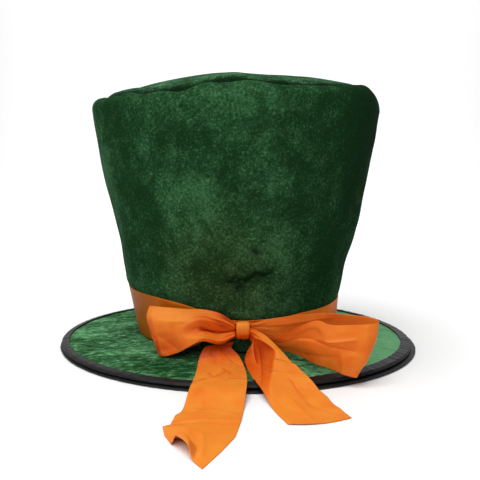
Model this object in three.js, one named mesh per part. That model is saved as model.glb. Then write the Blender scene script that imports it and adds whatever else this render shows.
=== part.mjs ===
// A tall velvet costume hat, resting on its brim, with an orange ribbon tied in a bow.
// Millimetres. The hat's axis is Z, the surface it rests on is z = 0, and the bow faces -Y.
import * as THREE from 'three';

// Driving sizes
const headRadius = 95.5; // inside of the crown at the brim, for a head of 600 mm
const brimRadius = 176; // outside of the tape round the brim
const brimThickness = 7; // two faces of velvet on a soft filling
const brimDish = 4; // rise of the brim from its edge to the crown
const tapeThickness = 1.2;
const tapeWidth = 9; // how far the tape laps over the brim's faces
const tapeBulge = 2.4; // how far each roll of the tape swells past the brim's own edge
const crownWall = 3;
const crownHeight = 236; // from the brim to the seam of the tip
const crownTopRadius = 144.5; // at the widest level, below the shoulder
const domeRise = 20.5; // of the tip above its seam
const ribbonWidth = 48;
const ribbonThickness = 1;
const bandHeight = 44; // the ribbon's height round the crown, a little slanted
const knotWidth = 11;
const knotHeight = 16.5;
const knotDepth = 11.5;
const knotLevel = 23.5; // middle of the knot above the brim
const knotOffset = 5; // the knot sits a little to the right of the hat's middle
const leftLoopLength = 83;
const rightLoopLength = 108;
const leftTailLength = 208;
const rightTailLength = 135;
const fallLength = 44; // the run in which a tail comes down from the brim to the surface
const clearance = 0.35;

const ringSteps = 64; // facets round the crown and the brim

// Widths of the crown, by height. The height is a share of crownHeight, and each flare is a
// share of the widening from the foot to crownTopRadius.
const crownSections = [
  { height: 0.00, right: 0.00, back: 0.02, left: 0.04, front: 0.02 },
  { height: 0.10, right: 0.04, back: 0.13, left: 0.15, front: 0.13 },
  { height: 0.20, right: 0.09, back: 0.22, left: 0.26, front: 0.22 },
  { height: 0.42, right: 0.40, back: 0.50, left: 0.52, front: 0.48 },
  { height: 0.65, right: 0.61, back: 0.74, left: 0.76, front: 0.73 },
  { height: 0.80, right: 0.77, back: 0.89, left: 0.91, front: 0.90 },
  { height: 0.93, right: 0.86, back: 1.00, left: 1.05, front: 1.00 },
];

// The seam between side and tip, by turn in degrees from the right. The radius is a share of
// crownTopRadius and the height a share of crownHeight.
const seamSections = [
  { turn: 0, radius: 0.80, height: 1.038 },
  { turn: 45, radius: 0.90, height: 1.015 },
  { turn: 90, radius: 0.93, height: 1.005 },
  { turn: 135, radius: 0.94, height: 0.995 },
  { turn: 180, radius: 0.93, height: 0.992 },
  { turn: 212, radius: 0.94, height: 0.978 },
  { turn: 238, radius: 0.94, height: 0.968 },
  { turn: 250, radius: 0.94, height: 0.978 },
  { turn: 264, radius: 0.94, height: 1.006 },
  { turn: 285, radius: 0.94, height: 1.000 },
  { turn: 305, radius: 0.93, height: 1.002 },
  { turn: 330, radius: 0.87, height: 1.018 },
];

// The ribbon round the crown, by turn in degrees from the front towards the right. The foot and
// the head of the band are heights above the brim, as shares of bandHeight.
const bandSections = [
  { turn: 0, foot: 0.38, head: 0.70 },
  { turn: 12, foot: 0.31, head: 0.72 },
  { turn: 24, foot: 0.18, head: 0.79 },
  { turn: 34, foot: 0.08, head: 0.87 },
  { turn: 50, foot: 0.03, head: 0.92 },
  { turn: 80, foot: 0.02, head: 0.95 },
  { turn: 180, foot: 0.02, head: 1.00 },
  { turn: 270, foot: 0.02, head: 1.01 },
  { turn: 312, foot: 0.02, head: 1.06 },
  { turn: 327, foot: 0.10, head: 1.02 },
  { turn: 340, foot: 0.20, head: 0.92 },
  { turn: 350, foot: 0.32, head: 0.76 },
];

// The loops, from the front of the knot round the end fold to the back of the knot. Each row is
// one line across the ribbon, from its upper to its lower edge. An "out" is a share of the loop's
// length from the side of the knot, an "ahead" and a "rise" are shares of ribbonWidth, forward
// of the knot's middle and above the brim. The ribbon bellies outward by "belly", also a share
// of ribbonWidth, with its crest at "fold", a share of the way across.
const leftLoopSections = [
  { upOut: 0.01, upAhead: 0.04, upRise: 0.62, lowOut: 0.01, lowAhead: 0.04, lowRise: 0.38, fold: 0.5, belly: 0.01 },
  { upOut: 0.16, upAhead: 0.08, upRise: 0.80, lowOut: 0.17, lowAhead: 0.17, lowRise: 0.26, fold: 0.6, belly: -0.08 },
  { upOut: 0.34, upAhead: 0.04, upRise: 0.87, lowOut: 0.36, lowAhead: 0.22, lowRise: 0.36, fold: 0.6, belly: -0.05 },
  { upOut: 0.53, upAhead: -0.01, upRise: 0.87, lowOut: 0.52, lowAhead: 0.18, lowRise: 0.20, fold: 0.5, belly: 0.03 },
  { upOut: 0.71, upAhead: -0.08, upRise: 0.88, lowOut: 0.63, lowAhead: 0.10, lowRise: 0.07, fold: 0.4, belly: 0.06 },
  { upOut: 0.87, upAhead: -0.16, upRise: 0.88, lowOut: 0.76, lowAhead: 0.02, lowRise: -0.02, fold: 0.3, belly: 0.08 },
  { upOut: 0.95, upAhead: -0.27, upRise: 0.87, lowOut: 0.83, lowAhead: -0.10, lowRise: -0.02, fold: 0.3, belly: 0.09 },
  { upOut: 0.88, upAhead: -0.42, upRise: 0.85, lowOut: 0.77, lowAhead: -0.30, lowRise: 0.00, fold: 0.3, belly: 0.03 },
  { upOut: 0.71, upAhead: -0.34, upRise: 0.82, lowOut: 0.62, lowAhead: -0.21, lowRise: 0.05, fold: 0.5, belly: 0.00 },
  { upOut: 0.53, upAhead: -0.21, upRise: 0.78, lowOut: 0.45, lowAhead: -0.11, lowRise: 0.15, fold: 0.5, belly: 0.00 },
  { upOut: 0.33, upAhead: -0.11, upRise: 0.71, lowOut: 0.29, lowAhead: -0.06, lowRise: 0.32, fold: 0.5, belly: 0.00 },
  { upOut: 0.14, upAhead: -0.07, upRise: 0.64, lowOut: 0.14, lowAhead: -0.05, lowRise: 0.40, fold: 0.5, belly: 0.00 },
  { upOut: 0.01, upAhead: -0.06, upRise: 0.60, lowOut: 0.01, lowAhead: -0.05, lowRise: 0.40, fold: 0.5, belly: 0.00 },
];
const rightLoopSections = [
  { upOut: 0.01, upAhead: 0.02, upRise: 0.58, lowOut: 0.01, lowAhead: 0.02, lowRise: 0.38, fold: 0.5, belly: 0.00 },
  { upOut: 0.09, upAhead: 0.15, upRise: 0.53, lowOut: 0.09, lowAhead: 0.12, lowRise: 0.32, fold: 0.5, belly: 0.01 },
  { upOut: 0.19, upAhead: 0.32, upRise: 0.49, lowOut: 0.19, lowAhead: 0.22, lowRise: 0.23, fold: 0.5, belly: 0.02 },
  { upOut: 0.30, upAhead: 0.50, upRise: 0.58, lowOut: 0.29, lowAhead: 0.31, lowRise: 0.18, fold: 0.5, belly: 0.03 },
  { upOut: 0.40, upAhead: 0.62, upRise: 0.73, lowOut: 0.38, lowAhead: 0.42, lowRise: 0.15, fold: 0.5, belly: 0.04 },
  { upOut: 0.51, upAhead: 0.74, upRise: 0.85, lowOut: 0.50, lowAhead: 0.66, lowRise: 0.06, fold: 0.5, belly: 0.06 },
  { upOut: 0.62, upAhead: 0.82, upRise: 0.79, lowOut: 0.62, lowAhead: 0.80, lowRise: 0.01, fold: 0.5, belly: 0.08 },
  { upOut: 0.78, upAhead: 0.84, upRise: 0.80, lowOut: 0.72, lowAhead: 0.94, lowRise: -0.05, fold: 0.5, belly: 0.06 },
  { upOut: 0.92, upAhead: 0.80, upRise: 0.81, lowOut: 0.80, lowAhead: 0.98, lowRise: -0.09, fold: 0.4, belly: 0.05 },
  { upOut: 0.99, upAhead: 0.70, upRise: 0.82, lowOut: 0.815, lowAhead: 0.88, lowRise: -0.09, fold: 0.4, belly: 0.08 },
  { upOut: 0.95, upAhead: 0.61, upRise: 0.88, lowOut: 0.79, lowAhead: 0.67, lowRise: -0.02, fold: 0.4, belly: 0.03 },
  { upOut: 0.80, upAhead: 0.50, upRise: 0.90, lowOut: 0.67, lowAhead: 0.44, lowRise: 0.01, fold: 0.5, belly: 0.00 },
  { upOut: 0.63, upAhead: 0.37, upRise: 0.90, lowOut: 0.54, lowAhead: 0.28, lowRise: 0.03, fold: 0.5, belly: 0.00 },
  { upOut: 0.48, upAhead: 0.24, upRise: 0.86, lowOut: 0.42, lowAhead: 0.13, lowRise: 0.07, fold: 0.5, belly: 0.00 },
  { upOut: 0.31, upAhead: 0.10, upRise: 0.78, lowOut: 0.27, lowAhead: 0.05, lowRise: 0.17, fold: 0.5, belly: 0.00 },
  { upOut: 0.16, upAhead: -0.02, upRise: 0.70, lowOut: 0.14, lowAhead: -0.02, lowRise: 0.29, fold: 0.5, belly: 0.00 },
  { upOut: 0.01, upAhead: -0.05, upRise: 0.60, lowOut: 0.01, lowAhead: -0.05, lowRise: 0.40, fold: 0.5, belly: 0.00 },
];

// The loose ends, from the knot to the cut. Each row is one line across the ribbon, from its left
// to its right edge. A "side" is a share of ribbonWidth from the knot's middle, an "ahead" a share
// of the tail's length, a "lift" a share of ribbonWidth above what the tail lies on, and the
// ribbon swells upward by "belly" with its crest at "fold".
const leftTailSections = [
  { leftSide: -0.15, leftAhead: 0.002, leftLift: 0.30, rightSide: -0.13, rightAhead: 0.00, rightLift: 0.25, fold: 0.5, belly: 0.00 },
  { leftSide: -0.40, leftAhead: 0.014, leftLift: 0.27, rightSide: -0.20, rightAhead: 0.01, rightLift: 0.22, fold: 0.5, belly: 0.00 },
  { leftSide: -0.67, leftAhead: 0.025, leftLift: 0.24, rightSide: -0.19, rightAhead: 0.02, rightLift: 0.18, fold: 0.5, belly: 0.02 },
  { leftSide: -0.76, leftAhead: 0.05, leftLift: 0.15, rightSide: -0.10, rightAhead: 0.035, rightLift: 0.12, fold: 0.5, belly: 0.05 },
  { leftSide: -0.80, leftAhead: 0.075, leftLift: 0.04, rightSide: -0.03, rightAhead: 0.065, rightLift: 0.06, fold: 0.5, belly: 0.06 },
  { leftSide: -0.81, leftAhead: 0.12, leftLift: 0.00, rightSide: 0.03, rightAhead: 0.11, rightLift: 0.00, fold: 0.5, belly: 0.03 },
  { leftSide: -0.83, leftAhead: 0.22, leftLift: 0.00, rightSide: 0.07, rightAhead: 0.21, rightLift: 0.00, fold: 0.5, belly: 0.01 },
  { leftSide: -0.85, leftAhead: 0.31, leftLift: 0.00, rightSide: 0.07, rightAhead: 0.31, rightLift: 0.00, fold: 0.5, belly: 0.01 },
  { leftSide: -0.89, leftAhead: 0.40, leftLift: 0.03, rightSide: 0.05, rightAhead: 0.40, rightLift: 0.03, fold: 0.5, belly: 0.01 },
  { leftSide: -0.95, leftAhead: 0.52, leftLift: 0.00, rightSide: 0.01, rightAhead: 0.51, rightLift: 0.01, fold: 0.5, belly: 0.03 },
  { leftSide: -1.03, leftAhead: 0.58, leftLift: 0.02, rightSide: -0.01, rightAhead: 0.57, rightLift: 0.01, fold: 0.4, belly: 0.03 },
  { leftSide: -1.06, leftAhead: 0.65, leftLift: 0.00, rightSide: -0.05, rightAhead: 0.66, rightLift: 0.00, fold: 0.4, belly: 0.04 },
  { leftSide: -1.15, leftAhead: 0.69, leftLift: 0.02, rightSide: -0.11, rightAhead: 0.76, rightLift: 0.00, fold: 0.4, belly: 0.09 },
  { leftSide: -1.10, leftAhead: 0.76, leftLift: 0.00, rightSide: -0.30, rightAhead: 0.88, rightLift: 0.00, fold: 0.4, belly: 0.14 },
  { leftSide: -1.00, leftAhead: 0.82, leftLift: 0.00, rightSide: -0.52, rightAhead: 1.00, rightLift: 0.00, fold: 0.4, belly: 0.17 },
];
const rightTailSections = [
  { leftSide: 0.13, leftAhead: 0.02, leftLift: 0.35, rightSide: 0.13, rightAhead: 0.02, rightLift: 0.58, fold: 0.5, belly: 0.00 },
  { leftSide: 0.17, leftAhead: 0.055, leftLift: 0.30, rightSide: 0.24, rightAhead: 0.05, rightLift: 0.57, fold: 0.5, belly: 0.01 },
  { leftSide: 0.08, leftAhead: 0.085, leftLift: 0.20, rightSide: 0.42, rightAhead: 0.12, rightLift: 0.52, fold: 0.7, belly: 0.04 },
  { leftSide: 0.04, leftAhead: 0.13, leftLift: 0.08, rightSide: 0.66, rightAhead: 0.22, rightLift: 0.38, fold: 0.9, belly: 0.07 },
  { leftSide: 0.09, leftAhead: 0.22, leftLift: 0.01, rightSide: 0.86, rightAhead: 0.32, rightLift: 0.24, fold: 0.75, belly: 0.09 },
  { leftSide: 0.17, leftAhead: 0.35, leftLift: 0.00, rightSide: 1.02, rightAhead: 0.40, rightLift: 0.14, fold: 0.5, belly: 0.07 },
  { leftSide: 0.24, leftAhead: 0.475, leftLift: 0.00, rightSide: 1.15, rightAhead: 0.465, rightLift: 0.06, fold: 0.35, belly: 0.04 },
  { leftSide: 0.31, leftAhead: 0.57, leftLift: 0.01, rightSide: 1.25, rightAhead: 0.525, rightLift: 0.00, fold: 0.25, belly: 0.04 },
  { leftSide: 0.40, leftAhead: 0.67, leftLift: 0.00, rightSide: 1.37, rightAhead: 0.59, rightLift: 0.00, fold: 0.2, belly: 0.03 },
  { leftSide: 0.52, leftAhead: 0.83, leftLift: 0.00, rightSide: 1.52, rightAhead: 0.74, rightLift: 0.01, fold: 0.5, belly: 0.04 },
  { leftSide: 0.66, leftAhead: 0.99, leftLift: 0.00, rightSide: 1.65, rightAhead: 0.88, rightLift: 0.00, fold: 0.5, belly: 0.02 },
];

// Sizes worked out from the driving ones
const crownBaseRadius = headRadius + crownWall;
const sheetGap = clearance + ribbonThickness / 2; // from a surface to the middle of a ribbon on it
const brimEdgeRadius = brimRadius - tapeBulge - tapeThickness - clearance;
const brimUnder = tapeThickness + clearance;
const brimTop = brimUnder + brimThickness;
const crownFoot = brimTop + brimDish + clearance;
const tapeTop = brimTop + clearance + tapeThickness;
const tapeInnerRadius = brimRadius - tapeBulge - tapeWidth;

function mix(a, b, share) {
  return a + (b - a) * share;
}

// Smooth curve through one column of a table: "key" over the column "along", or over the rows.
function curveThrough(rows, key, along) {
  const place = rows.map((row, index) => (along ? row[along] : index));
  const value = rows.map((row) => row[key]);
  const last = rows.length - 1;
  const slope = value.map((_, i) => {
    const before = Math.max(i - 1, 0);
    const after = Math.min(i + 1, last);
    return (value[after] - value[before]) / (place[after] - place[before]);
  });
  return (at) => {
    let i = 0;
    while (i < last - 1 && at > place[i + 1]) i += 1;
    const step = place[i + 1] - place[i];
    const t = Math.min(Math.max((at - place[i]) / step, 0), 1);
    const t2 = t * t;
    const t3 = t2 * t;
    return (2 * t3 - 3 * t2 + 1) * value[i] + (t3 - 2 * t2 + t) * step * slope[i]
      + (3 * t2 - 2 * t3) * value[i + 1] + (t3 - t2) * step * slope[i + 1];
  };
}

// The same round the hat, where the table starts again after a full turn of 360 degrees.
function curveAround(rows, key) {
  const shifted = (row, turns) => ({ ...row, turn: row.turn + 360 * turns });
  const wrapped = [
    ...rows.slice(-2).map((row) => shifted(row, -1)),
    ...rows,
    ...rows.slice(0, 2).map((row) => shifted(row, 1)),
  ];
  const curve = curveThrough(wrapped, key, 'turn');
  return (turn) => curve(((turn % 360) + 360) % 360);
}

// A closed mesh from its corner points and faces of three or four corners, turned outward.
function meshOf(name, material, points, faces) {
  const index = [];
  for (const face of faces) {
    for (let k = 1; k < face.length - 1; k += 1) index.push(face[0], face[k], face[k + 1]);
  }
  let volume = 0;
  for (let k = 0; k < index.length; k += 3) {
    const [a, b, c] = [points[index[k]], points[index[k + 1]], points[index[k + 2]]];
    volume += a.dot(b.clone().cross(c));
  }
  if (volume < 0) {
    for (let k = 0; k < index.length; k += 3) {
      const swap = index[k + 1];
      index[k + 1] = index[k + 2];
      index[k + 2] = swap;
    }
  }
  const geometry = new THREE.BufferGeometry();
  geometry.setAttribute('position', new THREE.Float32BufferAttribute(points.flatMap((p) => p.toArray()), 3));
  geometry.setIndex(index);
  geometry.computeVertexNormals();
  const mesh = new THREE.Mesh(geometry, material);
  mesh.name = name;
  return mesh;
}

// A ring round the hat's axis: profileAt(turn) gives a closed outline of [radius, height] pairs.
function ringMesh(name, material, profileAt) {
  const points = [];
  const faces = [];
  const size = profileAt(0).length;
  for (let i = 0; i < ringSteps; i += 1) {
    const turn = (360 * i) / ringSteps;
    const angle = THREE.MathUtils.degToRad(turn);
    for (const [radius, height] of profileAt(turn)) {
      points.push(new THREE.Vector3(radius * Math.cos(angle), radius * Math.sin(angle), height));
    }
    const here = i * size;
    const next = ((i + 1) % ringSteps) * size;
    for (let k = 0; k < size; k += 1) {
      const up = (k + 1) % size;
      faces.push([here + k, next + k, next + up, here + up]);
    }
  }
  return meshOf(name, material, points, faces);
}

// A thin shell across the axis: profileAt(turn) runs from near the axis on one face, round the
// rim, to near the axis on the other, and each face closes at a point on the axis.
function dishMesh(name, material, profileAt, firstPole, lastPole) {
  const points = [];
  const faces = [];
  const size = profileAt(0).length;
  for (let i = 0; i < ringSteps; i += 1) {
    const turn = (360 * i) / ringSteps;
    const angle = THREE.MathUtils.degToRad(turn);
    for (const [radius, height] of profileAt(turn)) {
      points.push(new THREE.Vector3(radius * Math.cos(angle), radius * Math.sin(angle), height));
    }
  }
  const first = points.push(new THREE.Vector3(0, 0, firstPole)) - 1;
  const last = points.push(new THREE.Vector3(0, 0, lastPole)) - 1;
  for (let i = 0; i < ringSteps; i += 1) {
    const here = i * size;
    const next = ((i + 1) % ringSteps) * size;
    for (let k = 0; k < size - 1; k += 1) faces.push([here + k, next + k, next + k + 1, here + k + 1]);
    faces.push([first, next, here]);
    faces.push([last, here + size - 1, next + size - 1]);
  }
  return meshOf(name, material, points, faces);
}

// Radius of the crown's outside at a height and a turn in degrees from the right. It is straight
// between the levels of the facets, so that what lies on the crown follows its facets.
const flareCurves = ['right', 'back', 'left', 'front'].map((key) => curveThrough(crownSections, key, 'height'));
const widestLevel = crownSections[crownSections.length - 1].height;
const sideSteps = 8;
function crownRadius(height, turn) {
  const quarter = (((turn % 360) + 360) % 360) / 90;
  const from = Math.floor(quarter) % 4;
  const part = (1 - Math.cos(Math.PI * (quarter - Math.floor(quarter)))) / 2;
  const flareAt = (level) => {
    const share = (widestLevel * level) / sideSteps;
    return mix(flareCurves[from](share), flareCurves[(from + 1) % 4](share), part);
  };
  const level = (sideSteps * (height - crownFoot)) / (crownHeight * widestLevel);
  const under = THREE.MathUtils.clamp(Math.floor(level), 0, sideSteps - 1);
  const flare = mix(flareAt(under), flareAt(under + 1), THREE.MathUtils.clamp(level - under, 0, 1));
  return crownBaseRadius + (crownTopRadius - crownBaseRadius) * flare;
}

const seamRadiusCurve = curveAround(seamSections, 'radius');
const seamHeightCurve = curveAround(seamSections, 'height');
function seamAt(turn) {
  return [crownTopRadius * seamRadiusCurve(turn), crownFoot + crownHeight * seamHeightCurve(turn)];
}

// The crown's outer profile: up the side, then round the shoulder to the seam.
const shoulderSteps = 4;
function crownProfile(turn) {
  const profile = [];
  for (let k = 0; k <= sideSteps; k += 1) {
    const height = crownFoot + (crownHeight * widestLevel * k) / sideSteps;
    profile.push([crownRadius(height, turn), height]);
  }
  const [wideRadius, wideHeight] = profile[profile.length - 1];
  const [seamRadius, seamHeight] = seamAt(turn);
  for (let k = 1; k <= shoulderSteps; k += 1) {
    const bend = (Math.PI / 2) * (k / shoulderSteps);
    profile.push([
      seamRadius + (wideRadius - seamRadius) * Math.cos(bend),
      wideHeight + (seamHeight - wideHeight) * Math.sin(bend),
    ]);
  }
  return profile;
}

// A profile moved inward by a wall, square to its own run.
function insetProfile(profile, wall) {
  return profile.map(([radius, height], k) => {
    const before = profile[Math.max(k - 1, 0)];
    const after = profile[Math.min(k + 1, profile.length - 1)];
    const run = Math.hypot(after[0] - before[0], after[1] - before[1]);
    const inward = (after[1] - before[1]) / run;
    const upward = (after[0] - before[0]) / run;
    return [radius - wall * inward, height + wall * upward];
  });
}

function crownSide(material) {
  return ringMesh('crown_side', material, (turn) => {
    const outer = crownProfile(turn);
    const inner = insetProfile(outer, crownWall);
    inner[0][1] = outer[0][1];
    inner[inner.length - 1][0] = outer[outer.length - 1][0];
    return [...outer, ...inner.reverse()];
  });
}

// The tip is a low dome, and its rim meets the side's edge all round.
const tipSteps = 5;
function crownTip(material) {
  const apex = crownFoot + crownHeight + domeRise;
  return dishMesh('crown_tip', material, (turn) => {
    const [seamRadius, seamHeight] = seamAt(turn);
    const rim = seamRadius - clearance;
    const outer = [];
    const inner = [];
    for (let k = 1; k <= tipSteps; k += 1) {
      const share = Math.sqrt(k / tipSteps);
      const height = seamHeight + (apex - seamHeight) * (1 - share * share);
      outer.push([rim * share, height]);
      inner.push([rim * share, height - crownWall]);
    }
    return [...outer, ...inner.reverse()];
  }, apex, apex - crownWall);
}

// Rise of the brim above its outer edge at a radius.
function dishAt(radius) {
  const share = (brimEdgeRadius - radius) / (brimEdgeRadius - headRadius);
  return brimDish * THREE.MathUtils.clamp(share, 0, 1);
}

const brimSteps = 3;
function brim(material) {
  return ringMesh('brim', material, () => {
    const under = [];
    const over = [];
    for (let k = 0; k <= brimSteps; k += 1) {
      const radius = mix(headRadius, brimEdgeRadius, k / brimSteps);
      under.push([radius, brimUnder + dishAt(radius)]);
      over.push([radius, brimTop + dishAt(radius)]);
    }
    return [...under, ...over.reverse()];
  });
}

// The tape hugs the brim's edge: a lip above, two rolls with a groove between, and a flat lip
// below that the hat rests on.
function brimBinding(material) {
  const lipSlope = dishAt(tapeInnerRadius);
  const bore = brimEdgeRadius + clearance;
  const middle = tapeTop / 2;
  return ringMesh('brim_binding', material, () => [
    [tapeInnerRadius, 0],
    [brimRadius - tapeBulge, 0],
    [brimRadius, middle * 0.32],
    [brimRadius - tapeBulge * 0.2, middle * 0.8],
    [brimRadius - tapeBulge, middle],
    [brimRadius - tapeBulge * 0.4, middle * 1.25],
    [brimRadius - tapeBulge * 0.5, middle * 1.7],
    [brimRadius - tapeBulge * 1.6, tapeTop],
    [tapeInnerRadius, tapeTop + lipSlope],
    [tapeInnerRadius, brimTop + clearance + lipSlope],
    [bore, brimTop + clearance],
    [bore, tapeThickness],
    [tapeInnerRadius, tapeThickness],
  ]);
}

// The ribbon band follows the crown's outside at a clearance.
const bandFootCurve = curveAround(bandSections, 'foot');
const bandHeadCurve = curveAround(bandSections, 'head');
const bandSteps = 3;
function ribbonBand(material) {
  return ringMesh('ribbon_band', material, (turn) => {
    const foot = crownFoot + bandHeight * bandFootCurve(turn + 90);
    const head = crownFoot + bandHeight * bandHeadCurve(turn + 90);
    const inner = [];
    const outer = [];
    for (let k = 0; k <= bandSteps; k += 1) {
      const height = mix(foot, head, k / bandSteps);
      const radius = crownRadius(height, turn) + clearance;
      inner.push([radius, height]);
      outer.push([radius + ribbonThickness, height]);
    }
    return [...inner, ...outer.reverse()];
  });
}

// Place of the knot, in front of the band
const knotBack = crownRadius(crownFoot + knotLevel + knotHeight / 2, 270) + ribbonThickness + 2 * clearance;
const knot = new THREE.Vector3(knotOffset, -knotBack - knotDepth / 2, crownFoot + knotLevel);

// A short spool of ribbon, with rounded corners and two flat ends.
const knotStations = [
  { along: -0.50, size: 0.93 },
  { along: -0.30, size: 1.00 },
  { along: 0.30, size: 1.00 },
  { along: 0.50, size: 0.95 },
];
const knotCorners = 16;
function bowKnot(material) {
  const points = [];
  const faces = [];
  for (const { along, size } of knotStations) {
    for (let k = 0; k < knotCorners; k += 1) {
      const angle = (2 * Math.PI * k) / knotCorners;
      const rounded = (value) => Math.sign(value) * Math.sqrt(Math.abs(value));
      points.push(new THREE.Vector3(
        knot.x + along * knotWidth,
        knot.y + (size * rounded(Math.cos(angle)) * knotDepth) / 2,
        knot.z + (size * rounded(Math.sin(angle)) * knotHeight) / 2,
      ));
    }
  }
  const ends = knotStations.length - 1;
  for (let s = 0; s < ends; s += 1) {
    for (let k = 0; k < knotCorners; k += 1) {
      const up = (k + 1) % knotCorners;
      faces.push([s * knotCorners + k, s * knotCorners + up, (s + 1) * knotCorners + up, (s + 1) * knotCorners + k]);
    }
  }
  const ring = [...Array(knotCorners).keys()];
  faces.push([...ring].reverse(), ring.map((k) => ends * knotCorners + k));
  return meshOf('bow_knot', material, points, faces);
}

// Height of a ribbon's middle where it lies on the brim, slants down past it or lies on the surface.
function restHeight(x, y) {
  const radius = Math.hypot(x, y);
  const onTape = radius > tapeInnerRadius - tapeWidth / 2 ? tapeTop + dishAt(tapeInnerRadius) : 0;
  const onBrim = Math.max(brimTop + dishAt(radius), onTape);
  const onSurface = ribbonThickness / 2;
  const fallen = THREE.MathUtils.smoothstep(radius, brimRadius + 3 * ribbonThickness, brimRadius + fallLength);
  return mix(onBrim + sheetGap, onSurface, fallen);
}

// The nearest place that clears the band round the crown.
function besideBand(point) {
  const turn = THREE.MathUtils.radToDeg(Math.atan2(point.y, point.x));
  const least = crownRadius(point.z, turn) + clearance + ribbonThickness + sheetGap;
  const push = Math.max(1, least / Math.hypot(point.x, point.y));
  return new THREE.Vector3(point.x * push, point.y * push, point.z);
}

// Normals of a grid of points, one for each.
function gridNormals(grid) {
  const rows = grid.length - 1;
  return grid.map((line, i) => line.map((_, j) => {
    const columns = line.length - 1;
    const along = grid[Math.min(i + 1, rows)][j].clone().sub(grid[Math.max(i - 1, 0)][j]);
    const across = line[Math.min(j + 1, columns)].clone().sub(line[Math.max(j - 1, 0)]);
    return along.cross(across).normalize();
  }));
}

// A ribbon through the lines of a table. edgesOf(row) gives the two ends of one line, and the
// belly swells the sheet along its normal, on the side that "outward" names with 1 or -1.
function ribbonMesh(name, material, sections, edgesOf, outward, settle, acrossSteps) {
  const stepsPerSection = 2;
  const curves = Object.keys(sections[0]).map((key) => [key, curveThrough(sections, key)]);
  const lines = [];
  for (let i = 0; i <= (sections.length - 1) * stepsPerSection; i += 1) {
    const row = Object.fromEntries(curves.map(([key, curve]) => [key, curve(i / stepsPerSection)]));
    const [start, end] = edgesOf(row);
    const straight = [];
    for (let j = 0; j <= acrossSteps; j += 1) straight.push(start.clone().lerp(end, j / acrossSteps));
    lines.push({ row, straight });
  }
  const normals = gridNormals(lines.map((line) => line.straight));
  const middle = lines.map(({ row, straight }, i) => straight.map((point, j) => {
    const share = j / acrossSteps;
    const slope = share < row.fold ? share / row.fold : (1 - share) / (1 - row.fold);
    const swell = outward * ribbonWidth * row.belly * Math.sin((Math.PI / 2) * slope);
    return settle(point.clone().addScaledVector(normals[i][j], swell));
  }));
  return sheetMesh(name, material, middle, ribbonThickness);
}

// A closed sheet of even thickness round a grid of points.
function sheetMesh(name, material, grid, thickness) {
  const normals = gridNormals(grid);
  const rows = grid.length;
  const columns = grid[0].length;
  const half = thickness / 2;
  const face = (side) => grid.flatMap((line, i) => line.map((p, j) => p.clone().addScaledVector(normals[i][j], side * half)));
  const points = [...face(1), ...face(-1)];
  const other = rows * columns;
  const at = (i, j) => i * columns + j;
  const faces = [];
  for (let i = 0; i < rows - 1; i += 1) {
    for (let j = 0; j < columns - 1; j += 1) {
      const corners = [at(i, j), at(i, j + 1), at(i + 1, j + 1), at(i + 1, j)];
      faces.push([...corners].reverse(), corners.map((k) => k + other));
    }
  }
  const rim = [];
  for (let j = 0; j < columns; j += 1) rim.push(at(0, j));
  for (let i = 1; i < rows; i += 1) rim.push(at(i, columns - 1));
  for (let j = columns - 2; j >= 0; j -= 1) rim.push(at(rows - 1, j));
  for (let i = rows - 2; i > 0; i -= 1) rim.push(at(i, 0));
  rim.forEach((k, n) => {
    const after = rim[(n + 1) % rim.length];
    faces.push([k, after, after + other, k + other]);
  });
  return meshOf(name, material, points, faces);
}

// A loop on one side of the knot: side is -1 for left and 1 for right.
function bowLoop(name, material, sections, length, side) {
  const root = knot.x + side * (knotWidth / 2 + clearance);
  const place = (out, ahead, rise) => {
    const x = root + side * out * length;
    const y = knot.y - ahead * ribbonWidth;
    return new THREE.Vector3(x, y, Math.max(restHeight(x, y), crownFoot + rise * ribbonWidth));
  };
  const edgesOf = (row) => [
    place(row.upOut, row.upAhead, row.upRise),
    place(row.lowOut, row.lowAhead, row.lowRise),
  ];
  return ribbonMesh(name, material, sections, edgesOf, -side, besideBand, 6);
}

// A loose end that runs down from the knot, over the brim and onto the surface.
function bowTail(name, material, sections, length) {
  const place = (sideways, ahead, lift) => {
    const x = knot.x + sideways * ribbonWidth;
    const y = knot.y - ahead * length;
    return new THREE.Vector3(x, y, restHeight(x, y) + lift * ribbonWidth);
  };
  const edgesOf = (row) => [
    place(row.leftSide, row.leftAhead, row.leftLift),
    place(row.rightSide, row.rightAhead, row.rightLift),
  ];
  const settle = (point) => {
    const lifted = point.clone();
    lifted.z = Math.max(point.z, restHeight(point.x, point.y));
    return lifted;
  };
  return ribbonMesh(name, material, sections, edgesOf, 1, settle, 8);
}

const velvet = new THREE.MeshStandardMaterial({ color: 0x244a2c, roughness: 0.9, metalness: 0 });
const brimVelvet = new THREE.MeshStandardMaterial({ color: 0x4a7550, roughness: 0.85, metalness: 0 });
const tipVelvet = new THREE.MeshStandardMaterial({ color: 0x3c6440, roughness: 0.88, metalness: 0 });
const tape = new THREE.MeshStandardMaterial({ color: 0x1f1f20, roughness: 0.5, metalness: 0 });
const satin = new THREE.MeshStandardMaterial({ color: 0xe87722, roughness: 0.45, metalness: 0 });
const bandSatin = new THREE.MeshStandardMaterial({ color: 0xc0651f, roughness: 0.5, metalness: 0 });

const hat = new THREE.Group();
hat.name = 'hat';
hat.add(
  crownSide(velvet),
  crownTip(tipVelvet),
  brim(brimVelvet),
  brimBinding(tape),
  ribbonBand(bandSatin),
  bowKnot(satin),
  bowLoop('bow_loop_left', satin, leftLoopSections, leftLoopLength, -1),
  bowLoop('bow_loop_right', satin, rightLoopSections, rightLoopLength, 1),
  bowTail('tail_left', satin, leftTailSections, leftTailLength),
  bowTail('tail_right', satin, rightTailSections, rightTailLength),
);

export default hat;
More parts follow.
